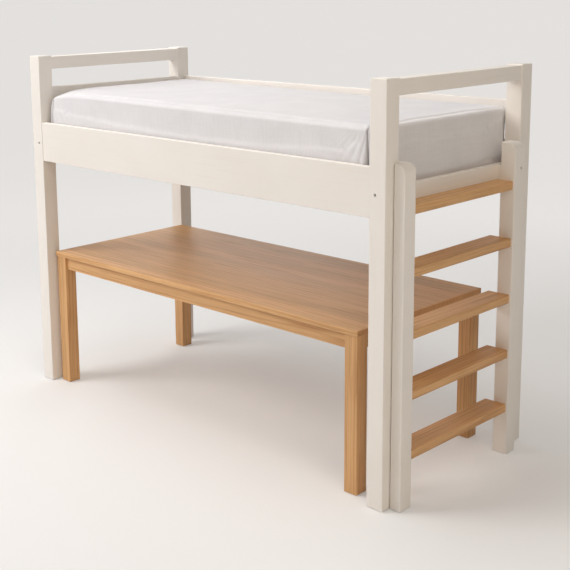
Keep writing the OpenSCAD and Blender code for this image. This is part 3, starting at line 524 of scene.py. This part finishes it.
class BeddingSizes(bpy.types.PropertyGroup):
    """Sizes of the mattress and its fitted sheet."""

    corner_radius: FloatProperty(
        name="Corner radius",
        description="Radius of the back corner at the ladder and the front one at the head",
        subtype="DISTANCE", unit="LENGTH", default=24 * MM, min=22 * MM, max=32 * MM)
    soft_corner: FloatProperty(
        name="Softer corners", description="Radius of the other two corners, in plan",
        subtype="DISTANCE", unit="LENGTH", default=44 * MM, min=22 * MM, max=60 * MM)
    edge_radius: FloatProperty(
        name="Edge radius", description="Rounding of the upper edges",
        subtype="DISTANCE", unit="LENGTH", default=19 * MM, min=14 * MM, max=21 * MM)
    slope: FloatProperty(
        name="Slope", description="How far the top lies lower at the ladder than at the head",
        subtype="DISTANCE", unit="LENGTH", default=13 * MM, min=0, max=20 * MM)
    corner_drop: FloatProperty(
        name="Corner drop", description="How far the worn corner at the head and the front hangs down",
        subtype="DISTANCE", unit="LENGTH", default=50 * MM, min=0, max=60 * MM)
    under_radius: FloatProperty(
        name="Lower edge radius", description="Rounding of the lower edges",
        subtype="DISTANCE", unit="LENGTH", default=20 * MM, min=10 * MM, max=30 * MM)
    crown: FloatProperty(
        name="Crown", description="Rise of the middle of the top above its edges",
        subtype="DISTANCE", unit="LENGTH", default=4 * MM, min=2 * MM, max=12 * MM)
    waist: FloatProperty(
        name="Waist", description="How far the sides draw in between the corners",
        subtype="DISTANCE", unit="LENGTH", default=4 * MM, min=1 * MM, max=8 * MM)
    hem: FloatProperty(
        name="Hem", description="How far the sheet is tucked under",
        subtype="DISTANCE", unit="LENGTH", default=90 * MM, min=60 * MM, max=120 * MM)
    cloth: FloatProperty(
        name="Cloth thickness", description="Thickness of the sheet's cloth",
        subtype="DISTANCE", unit="LENGTH", default=0.8 * MM, min=0.4 * MM, max=1.5 * MM)
    fold: FloatProperty(
        name="Fold depth", description="Depth of the gathered folds at the corners",
        subtype="DISTANCE", unit="LENGTH", default=6 * MM, min=0, max=8 * MM)
    fold_pitch: FloatProperty(
        name="Fold pitch", description="Distance between the gathered folds",
        subtype="DISTANCE", unit="LENGTH", default=30 * MM, min=12 * MM, max=40 * MM)
    seed: IntProperty(
        name="Seed", description="Chooses where the folds fall", default=7, min=0)


class StageSizes(bpy.types.PropertyGroup):
    """The paper sweep and the lamps."""

    paper: FloatVectorProperty(
        name="Paper", description="Colour of the sweep", subtype="COLOR", size=4,
        min=0, max=1, default=linear("#F4F3F2"))
    paper_light: FloatVectorProperty(
        name="Paper as seen", description="Pale tone that the camera sees mixed in",
        subtype="COLOR", size=4, min=0, max=1, default=linear("#EAE7E4"))
    paper_glow: FloatProperty(
        name="Lift", description="Share of the pale tone in what the camera sees, far from the bed",
        default=0.9, min=0, max=1, subtype="FACTOR")
    paper_glow_near: FloatProperty(
        name="Lift near the bed", description="Share of the pale tone round the bed, where shadows fall",
        default=0.25, min=0, max=1, subtype="FACTOR")
    sweep_radius: FloatProperty(
        name="Sweep", description="Distance from the bed to the foot of the curved backdrop",
        subtype="DISTANCE", unit="LENGTH", default=11.0, min=6, max=20)
    key_power: FloatProperty(
        name="Key lamp", description="Power of the large soft lamp", unit="POWER",
        default=206.0, min=0)
    top_power: FloatProperty(
        name="Top lamp", description="Power of the soft lamp overhead", unit="POWER",
        default=100.0, min=0)
    rim_power: FloatProperty(
        name="Rim lamp", description="Power of the lamp behind the bed", unit="POWER",
        default=33.0, min=0)
    warm_power: FloatProperty(
        name="Warm lamp", description="Power of the weak warm lamp on the ladder side", unit="POWER",
        default=48.0, min=0)
    sky: FloatProperty(
        name="Sky", description="Strength of the even light from all round", default=0.25, min=0)


class CABINBED_OT_paint(bpy.types.Operator):
    """Paints the posts, rails, stiles and blocks"""

    bl_idname = "cabin_bed.paint"
    bl_label = "Paint the frame"

    def execute(self, context):
        finish_nodes(PAINTED, satin_enamel)
        return {"FINISHED"}


class CABINBED_OT_oak(bpy.types.Operator):
    """Oils the rungs and the table"""

    bl_idname = "cabin_bed.oak"
    bl_label = "Oil the oak"

    def execute(self, context):
        stave = context.scene.cabin_bed_finishes.oak_stave
        finish_nodes([n for n in OAK if n != "table_top"], oiled_oak)
        finish_nodes(["table_top"], lambda axis: oiled_oak(axis, staves=stave))
        return {"FINISHED"}


class CABINBED_OT_base(bpy.types.Operator):
    """Finishes the ledges, slats and dowels, and the tapes under the slats"""

    bl_idname = "cabin_bed.base"
    bl_label = "Slatted base"

    def execute(self, context):
        finish_nodes(PINE, bare_pine)
        finish_nodes(BEECH, turned_beech)
        finish_nodes(["slat_tapes"], lambda axis: woven_webbing())
        return {"FINISHED"}


class CABINBED_OT_fixings(bpy.types.Operator):
    """Plates the screws, bolts, nuts, brackets and clips, and finishes the felt pads"""

    bl_idname = "cabin_bed.fixings"
    bl_label = "Fixings and feet"

    def execute(self, context):
        zinc, felt = zinc_plate(), pressed_felt()
        finish_nodes(ZINC, lambda axis: zinc)
        finish_nodes(FELT, lambda axis: felt)
        return {"FINISHED"}


class CABINBED_OT_mattress(bpy.types.Operator):
    """Makes the foam mattress, puffed up by a cloth simulation"""

    bl_idname = "cabin_bed.mattress"
    bl_label = "Mattress"

    room = 12 * MM   # left at each side for the sheet and its folds; 9 mm above and 3 mm below
    swell = 4 * MM   # the most that the simulation moves a point
    voxel = 15 * MM

    def execute(self, context):
        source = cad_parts["mattress"]
        piece = bpy.data.objects.new("foam_mattress", source.data.copy())
        context.scene.collection.objects.link(piece)
        piece.data.materials.clear()
        piece.data.materials.append(quilted_ticking())
        low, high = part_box("mattress")
        middle, half = (low + high) / 2, (high - low) / 2
        shrink = np.array([1 - self.room / half.x, 1 - self.room / half.y,
                           1 - self.room / 2 / half.z])
        base = np.array(middle)
        set_points(piece, (points_of(piece) - base) * shrink + base + [0, 0, -self.room / 4])
        remesh = piece.modifiers.new("remesh", "REMESH")
        remesh.mode, remesh.voxel_size = "VOXEL", self.voxel
        apply_modifiers(piece)
        set_points(piece, worn_down(points_of(piece), low, high, context.scene.cabin_bed_bedding))
        rest = points_of(piece)
        settle_cloth(piece, pressure=4.0, frames=20)
        moved = points_of(piece)
        move = moved - rest
        far = np.linalg.norm(move, axis=1, keepdims=True)
        set_points(piece, rest + move * np.minimum(1.0, self.swell / np.maximum(far, 1e-9)))
        settled = points_of(piece)
        settled[:, 2] = np.maximum(settled[:, 2], low.z + ABOVE)
        set_points(piece, settled)
        smooth = piece.modifiers.new("smooth", "SUBSURF")
        smooth.levels = smooth.render_levels = 1
        apply_modifiers(piece)
        piece.data.polygons.foreach_set("use_smooth", [True] * len(piece.data.polygons))
        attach(piece, "mattress")
        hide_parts("mattress")
        return {"FINISHED"}


def worn_down(points, low, high, sizes):
    """Slopes a mattress's top down to the ladder and wears down its corner at head and front."""
    x, y, z = points.T
    share = np.clip((z - low.z) / (high.z - low.z), 0, 1)
    along = np.clip((x - low.x) / (high.x - low.x), 0, 1)
    near = np.clip(1 - np.hypot(x - low.x, y - low.y) / WORN_REACH, 0, 1)
    # the top falls to the corner on a quarter circle, and the wear dies out down the side
    worn = (1 - np.sqrt(1 - near * near)) * share ** 3
    drawn = sizes.corner_drop * WORN_PULL * worn
    sunk = z - sizes.slope * along * share - sizes.corner_drop * worn
    return np.column_stack([x + drawn, y + drawn, sunk])


def graded(half, steps, wide):
    """Grid lines from -half to half: (step, until) pairs at both ends, and wide between them."""
    ends = [0.0]
    for step, until in steps:
        while ends[-1] + step < until:
            ends.append(ends[-1] + step)
    ends = np.array(ends)
    reach = ends[-1] + steps[-1][0]
    inner = np.linspace(reach, 2 * half - reach, int(round((2 * half - 2 * reach) / wide)) + 1)
    return np.concatenate([ends, inner, 2 * half - ends[::-1]]) - half


class SheetForm:
    """The rounded box that the fitted sheet is stretched over, and its grid."""

    least_corner = 8 * MM                              # tightest corner of the tucked hem
    steps = ((2.5 * MM, 30 * MM), (5 * MM, 170 * MM))  # grid spacing, and how far in it goes
    wide = 22 * MM                                     # grid spacing in the middle
    row = 6 * MM                                       # height of a row down the side
    roll, roll_width = 4 * MM, 60 * MM                 # fall of the front edge, and its width
    edge_step, under_step = 15, 18                     # degrees between rows round the edges

    def __init__(self, low, high, sizes):
        self.s = sizes
        self.low, self.high = low, high
        self.middle = (low + high) / 2
        self.half = (high - low) / 2
        self.height = high.z - low.z
        self.floor = low.z

    def corner(self, x, y):
        """Radius and arc centre of the corner in the quarter of x, y."""
        radius = self.s.corner_radius if (x > 0) == (y > 0) else self.s.soft_corner
        return radius, self.half.x - radius, self.half.y - radius

    def turned(self, x, y, span, arc_x, arc_y):
        """How far x, y lies into the corner's square, and the angle it is drawn round to."""
        p = min(max((abs(x) - arc_x) / span, 0), 1)
        q = min(max((abs(y) - arc_y) / span, 0), 1)
        if p <= 0 or q <= 0:
            return 0, 0
        return max(p, q), math.pi / 4 * q / p if p >= q else math.pi / 2 - math.pi / 4 * p / q

    def outline(self, x, y, inset, full_x):
        """Plan point of a grid line's end x, y, on the outline that lies inset inside the widest."""
        whole, arc_x, arc_y = self.corner(x, y)
        far, angle = self.turned(x, y, whole - self.s.edge_radius, arc_x, arc_y)
        radius = max(whole - inset, self.least_corner)
        shift = max(inset - (whole - self.least_corner), 0)
        ax, ay = arc_x - shift, arc_y - shift
        if far > 0:
            return (math.copysign(ax + radius * math.cos(angle), x),
                    math.copysign(ay + radius * math.sin(angle), y))
        if full_x:
            return math.copysign(self.half.x - inset, x), y * ay / arc_y
        return x * ax / arc_x, math.copysign(self.half.y - inset, y)

    def top_point(self, x, y):
        """A point of the crowned top, with the grid's corners drawn round."""
        s = self.s
        whole, arc_x, arc_y = self.corner(x, y)
        span = whole - s.edge_radius
        hx, hy = self.half.x - s.edge_radius, self.half.y - s.edge_radius
        rise = s.crown * (1 - (abs(x) / hx) ** 4) * (1 - (y / hy) ** 2)
        far, angle = self.turned(x, y, span, arc_x, arc_y)
        if far > 0:
            x = math.copysign(arc_x + far * span * math.cos(angle), x)
            y = math.copysign(arc_y + far * span * math.sin(angle), y)
            rise *= 1 - far
        return x, y, self.height - s.crown + rise

    def rolled(self, points):
        """Lowers the top a little towards its front edge, before its slope and worn corner."""
        depth = self.half.y + points[:, 1]
        near = np.clip(1 - depth / self.roll_width, 0, 1) ** 2
        height = np.clip(points[:, 2] / self.height, 0, 1)
        points[:, 2] -= self.roll * near * height ** 4
        return points

    def profile(self):
        """Rows down the side, from the top edge to the hem: (inset, height, share of the waist)."""
        s = self.s
        top = self.height - s.crown
        rows = []
        for angle in np.radians(np.arange(90 - self.edge_step, -1, -self.edge_step)):
            rows.append((s.edge_radius * (1 - math.cos(angle)),
                         top - s.edge_radius * (1 - math.sin(angle)), 0))
        side = top - s.edge_radius - s.under_radius
        count = int(round(side / self.row))
        for i in range(1, count):
            part = i / count
            rows.append((0.0, top - s.edge_radius - side * part, math.sin(math.pi * part)))
        for angle in np.radians(np.arange(0, 91, self.under_step)):
            rows.append((s.under_radius * (1 - math.cos(angle)),
                         s.under_radius * (1 - math.sin(angle)), 0))
        count = int(round((s.hem - s.under_radius) / self.row))
        for i in range(1, count + 1):
            rows.append((s.under_radius + (s.hem - s.under_radius) * i / count, 0.0, 0))
        return rows

    def build(self):
        """Points, faces, and for each point its row down the side, or -1 on the top."""
        s = self.s
        hx, hy = self.half.x - s.edge_radius, self.half.y - s.edge_radius
        xs, ys = graded(hx, self.steps, self.wide), graded(hy, self.steps, self.wide)
        nx, ny = len(xs), len(ys)
        points = [self.top_point(x, y) for y in ys for x in xs]
        faces = [(j * nx + i, j * nx + i + 1, (j + 1) * nx + i + 1, (j + 1) * nx + i)
                 for j in range(ny - 1) for i in range(nx - 1)]
        rim = ([(i, 0) for i in range(nx - 1)] + [(nx - 1, j) for j in range(ny - 1)]
               + [(i, ny - 1) for i in range(nx - 1, 0, -1)] + [(0, j) for j in range(ny - 1, 0, -1)])
        above = [j * nx + i for i, j in rim]
        rows = [-1] * len(points)
        n = len(rim)
        for k, (inset, z, waist) in enumerate(self.profile()):
            start = len(points)
            for i, j in rim:
                x, y = xs[i], ys[j]
                side = i in (0, nx - 1)
                spread = math.cos(math.pi / 2 * (y / hy if side else x / hx))
                draw = inset + s.waist * waist * max(spread, 0) ** 0.5
                points.append((*self.outline(x, y, draw, side), z))
                rows.append(k)
            below = list(range(start, start + n))
            faces += [(above[i], below[i], below[(i + 1) % n], above[(i + 1) % n]) for i in range(n)]
            above = below
        origin = np.array([self.middle.x, self.middle.y, self.floor])
        points = self.rolled(np.array(points)) + origin
        return worn_down(points, self.low, self.high, s), faces, np.array(rows)

    def corner_distance(self, points):
        """Each point's distance to its corner's middle, if its side is a long one, and its corner.

        The distance is along the side, in plan. Corners count from 0, plus 2 at the ladder and
        1 at the back.
        """
        x, y = points[:, 0] - self.middle.x, points[:, 1] - self.middle.y
        # the middle of a quarter circle lies 0.3 of its radius in from both sides
        in_arc = 0.3 * self.s.corner_radius
        dx = np.abs(x) - (self.half.x - in_arc)
        dy = np.abs(y) - (self.half.y - in_arc)
        along_x = self.half.y - np.abs(y) < self.half.x - np.abs(x)
        return np.where(along_x, -dx, -dy), along_x, (x > 0) * 2 + (y > 0)


class CABINBED_OT_sheet(bpy.types.Operator):
    """Makes the fitted sheet: stretched over the mattress, gathered at its corners and tucked under"""

    bl_idname = "cabin_bed.sheet"
    bl_label = "Fitted sheet"

    reach = 0.11           # how far the gathered folds run from a corner
    out_most = 2.4 * MM    # the sheet stays this near its form, clear of the rails
    in_most = 3 * MM       # and this near it on the inside
    fold_most = 7 * MM     # the deepest fold, clear of the foam
    spare = 0.05           # share by which the cloth grows at the corners, where it gathers
    tight_corner = 3       # at the ladder and the back, where the cloth is drawn tight
    tight = 0.3            # share of the folds that are left there
    seam_from = 24 * MM    # a corner seam's distance from the middle of its corner
    seam_width = 4.5 * MM
    seam_depth = 7 * MM
    pull = 0.5 * MM        # height of the long shallow pulls along the sides
    ripple = 0.6 * MM      # depth of the ripples on the top

    def execute(self, context):
        sizes = context.scene.cabin_bed_bedding
        low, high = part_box("fitted_sheet")
        slack = Vector((self.out_most, self.out_most, 0))
        form = SheetForm(low + slack, high - slack, sizes)
        points, faces, rows = form.build()
        piece = mesh_object("fitted_sheet_cloth", points, faces, slubbed_cotton())
        normals = np.empty(len(points) * 3)
        piece.data.vertices.foreach_get("normal", normals)
        normals = normals.reshape(-1, 3)
        if np.einsum("ij,ij->i", normals, points - np.array(form.middle)).mean() < 0:
            piece.data.flip_normals()
            normals = -normals
        away, along_x, corner = form.corner_distance(points)
        side = rows >= 0
        pins = piece.vertex_groups.new(name="pins")
        # what is tucked under is held, and the rest of the side grows near the corners
        tucked = np.flatnonzero(points[:, 2] < form.floor + 2 * MM)
        pins.add([int(i) for i in tucked], 1.0, "REPLACE")
        gather = piece.vertex_groups.new(name="gather")
        near = np.exp(-np.maximum(away, 0) / self.reach) * side
        for i in np.flatnonzero(near > 0.05):
            gather.add([int(i)], float(near[i]), "REPLACE")
        settle_cloth(piece, pressure=1.5, frames=18, pins="pins",
                     growth=("gather", self.spare), stiffness=10.0)
        points = kept_near(points_of(piece), points, normals, self.out_most, self.in_most)
        out, seam_and_shade = self.folds(points, form, away, along_x, corner, side)
        points = points + normals * out[:, None]
        points[:, 2] = np.clip(points[:, 2], form.floor + ABOVE, high.z)
        set_points(piece, points)
        # the corner seam's share, which the sheet's material paints dark grey: the seam's line and a
        # painted shade of its fold
        piece.data.attributes.new("seam", "FLOAT", "POINT").data.foreach_set("value", seam_and_shade)
        thick = piece.modifiers.new("cloth", "SOLIDIFY")
        thick.thickness, thick.offset = sizes.cloth, -1.0
        apply_modifiers(piece)
        piece.data.polygons.foreach_set("use_smooth", [True] * len(piece.data.polygons))
        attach(piece, "mattress")
        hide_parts("fitted_sheet")
        return {"FINISHED"}

    def folds(self, points, form, away, along_x, corner, side):
        """How far each point stands out of the stretched sheet, and its share in a corner seam."""
        sizes = form.s
        rng = random.Random(sizes.seed)
        low_part = 1 - np.clip((points[:, 2] - form.floor) / form.height, 0, 1)
        out, seam_and_shade = np.zeros(len(points)), np.zeros(len(points))
        for which in range(4):
            for lengthwise in (False, True):
                here = side & (corner == which) & (along_x == lengthwise)
                shift, wander, strength = rng.random(), rng.uniform(2, 4), rng.uniform(0.8, 1.1)
                # folds fan out from the upper corner and run down away from it: the pitch widens
                # downwards, and each fold is a round crest between sharper valleys
                pitch = sizes.fold_pitch * (0.35 + 1.5 * low_part)
                turn = np.pi * (away / pitch + shift + 0.25 * np.sin(wander * away / self.reach))
                crease = np.abs(np.sin(turn)) ** 0.7 - 0.62
                fade = np.exp(-(np.maximum(away - 8 * MM, 0) / self.reach) ** 1.5)
                rise = np.clip(low_part * 2.2, 0, 1)
                # one seam down each corner, on its long side, sunk in a fold
                centre = self.seam_from * (1.1 - 0.25 * low_part)
                seam = np.exp(-((away - centre) / self.seam_width) ** 2)
                kept = self.tight if which == self.tight_corner else 1
                fold = strength * sizes.fold * crease * fade * rise * kept
                if lengthwise:
                    seam = seam * np.clip(low_part * 8, 0, 1)
                    fold = fold - self.seam_depth * seam
                    seam_and_shade = np.where(here, seam ** 2, seam_and_shade)
                out += np.where(here, fold, 0)
        # long shallow pulls along the sides
        x, y, z = (points - np.array(form.middle)).T
        pulls = np.sin(x * 17 + z * 9) * np.sin(x * 6.1 + 1.3) + 0.8 * np.sin(y * 15 - z * 8 + 0.7)
        between = np.sqrt(np.clip(4 * low_part * (1 - low_part), 0, 1))
        out += np.where(side, self.pull * pulls * between, 0)
        # the top lies nearly flat, with faint ripples drawn out along the bed
        waves = np.sin(y * 23 + 1.1 * np.sin(x * 2.3)) * np.cos(x * 3.1 + 0.4)
        waves = waves + 0.6 * np.sin(x * 9 + y * 4)
        out += np.where(side, 0, self.ripple * (waves - 1))
        # the hem lies flat under the mattress
        under = points[:, 2] < form.floor + 3 * MM
        return np.where(under, 0, np.clip(out, -self.fold_most, self.out_most)), seam_and_shade


class CABINBED_OT_stage(bpy.types.Operator):
    """Sets a paper sweep under and behind the bed, and plain soft lamps"""

    bl_idname = "cabin_bed.stage"
    bl_label = "Stage"

    def execute(self, context):
        stage = context.scene.cabin_bed_stage
        self.sweep(stage.sweep_radius)
        # the key comes over the viewer's left shoulder, the rim from behind the bed, where it
        # lights the back and lays a sheen on the oak, and the warm fill from the ladder's side
        self.lamp("key", (-3.5, -4.3, 4.1), (0.0, 0.0, 0.7), 3.0, stage.key_power, (1.0, 0.99, 0.98))
        self.lamp("top", (-1.0, -0.6, 5.2), (0.0, 0.0, 0.6), 3.0, stage.top_power, (1.0, 0.99, 0.98))
        self.lamp("rim", (-4.0, 3.8, 2.7), (0.0, 0.0, 0.7), 2.6, stage.rim_power, (1.0, 0.98, 0.96))
        self.lamp("warm", (3.9, -2.0, 3.3), (0.7, 0.0, 0.8), 2.4, stage.warm_power, (1.0, 0.87, 0.68))
        world = bpy.data.worlds.new("even_sky")
        context.scene.world = world
        world.use_nodes = True
        world.node_tree.nodes["Background"].inputs[0].default_value = linear("#FFFDFA")
        world.node_tree.nodes["Background"].inputs[1].default_value = stage.sky
        context.scene.view_settings.view_transform = "Standard"
        return {"FINISHED"}

    def sweep(self, radius):
        """A round floor that curves up into a wall, all in one smooth mesh."""
        bend, wall, steps, sides = 4.0, 9.0, 16, 96
        path = [(0.001, 0.0)] + [(r, 0.0) for r in np.linspace(1.0, radius, 8)]
        for i in range(1, steps + 1):
            angle = math.pi / 2 * i / steps
            path.append((radius + bend * math.sin(angle), bend * (1 - math.cos(angle))))
        path.append((radius + bend, wall))
        turns = [2 * math.pi * i / sides for i in range(sides)]
        points = [(r * math.cos(t), r * math.sin(t), z) for r, z in path for t in turns]
        faces = [(k * sides + i, k * sides + (i + 1) % sides, (k + 1) * sides + (i + 1) % sides,
                  (k + 1) * sides + i) for k in range(len(path) - 1) for i in range(sides)]
        faces.append(tuple(range(sides)))
        piece = mesh_object("paper_sweep", points, faces, matt_backdrop())

    def lamp(self, name, place, target, size, power, colour):
        """A square soft lamp that points at a target."""
        data = bpy.data.lights.new(name + "_lamp", "AREA")
        data.size, data.energy, data.color = size, power, colour
        made = bpy.data.objects.new(name + "_lamp", data)
        made.location = place
        made.rotation_euler = (Vector(target) - Vector(place)).to_track_quat("-Z", "Y").to_euler()
        made.visible_camera = False
        bpy.context.scene.collection.objects.link(made)


class CABINBED_OT_camera(bpy.types.Operator):
    """Sets the camera at the photograph's viewing angle"""

    bl_idname = "cabin_bed.camera"
    bl_label = "Camera"

    # fitted with a shift of 0.16 of the picture's height. The photograph's upright lines ask for
    # 0.42, but other views keep the shift, and would then cut off the top of the bed.
    place = (3.44961, -3.56745, 1.94884)
    yaw, pitch, roll = 0.77989, 0.18621, -0.01029
    picture = 570.0                # pixels across
    focal = 1116.971               # pixels
    centre = (252.872, 194.258)    # principal point, pixels
    sensor = 36.0                  # millimetres

    def execute(self, context):
        ahead = Vector((-math.sin(self.yaw) * math.cos(self.pitch),
                        math.cos(self.yaw) * math.cos(self.pitch), -math.sin(self.pitch)))
        level = Vector((math.cos(self.yaw), math.sin(self.yaw), 0))
        upright = level.cross(ahead)
        right = math.cos(self.roll) * level + math.sin(self.roll) * upright
        up = math.cos(self.roll) * upright - math.sin(self.roll) * level
        data = bpy.data.cameras.new("camera")
        data.sensor_width = self.sensor
        data.lens = self.focal / self.picture * self.sensor
        data.shift_x = (self.picture / 2 - self.centre[0]) / self.picture
        data.shift_y = (self.centre[1] - self.picture / 2) / self.picture
        data.clip_end = 100.0
        made = bpy.data.objects.new("camera", data)
        turned = Matrix((right, up, -ahead)).transposed().to_4x4()
        made.matrix_world = Matrix.Translation(self.place) @ turned
        context.scene.collection.objects.link(made)
        context.scene.camera = made
        return {"FINISHED"}


class CABINBED_PT_panel(bpy.types.Panel):
    """Buttons for each group of pieces, in the sidebar of the 3D view"""

    bl_idname = "CABINBED_PT_panel"
    bl_label = "Cabin bed"
    bl_space_type = "VIEW_3D"
    bl_region_type = "UI"
    bl_category = "Cabin bed"

    def draw(self, context):
        for operator in OPERATORS:
            self.layout.operator(operator.bl_idname)
        for group in (context.scene.cabin_bed_finishes, context.scene.cabin_bed_bedding,
                      context.scene.cabin_bed_stage):
            box = self.layout.box()
            for name in group.__annotations__:
                box.prop(group, name)


OPERATORS = (
    CABINBED_OT_camera, CABINBED_OT_paint, CABINBED_OT_oak, CABINBED_OT_base, CABINBED_OT_fixings,
    CABINBED_OT_mattress, CABINBED_OT_sheet, CABINBED_OT_stage,
)
GROUPS = (
    ("cabin_bed_finishes", BedFinishes), ("cabin_bed_bedding", BeddingSizes),
    ("cabin_bed_stage", StageSizes),
)


def register():
    for name, group in GROUPS:
        bpy.utils.register_class(group)
        setattr(bpy.types.Scene, name, PointerProperty(type=group))
    for made in (*OPERATORS, CABINBED_PT_panel):
        bpy.utils.register_class(made)


def unregister():
    for made in (CABINBED_PT_panel, *reversed(OPERATORS)):
        bpy.utils.unregister_class(made)
    for name, group in reversed(GROUPS):
        delattr(bpy.types.Scene, name)
        bpy.utils.unregister_class(group)


def main():
    register()
    for operator in OPERATORS:
        category, name = operator.bl_idname.split(".")
        getattr(getattr(bpy.ops, category), name)()


if __name__ == "__main__":
    main()
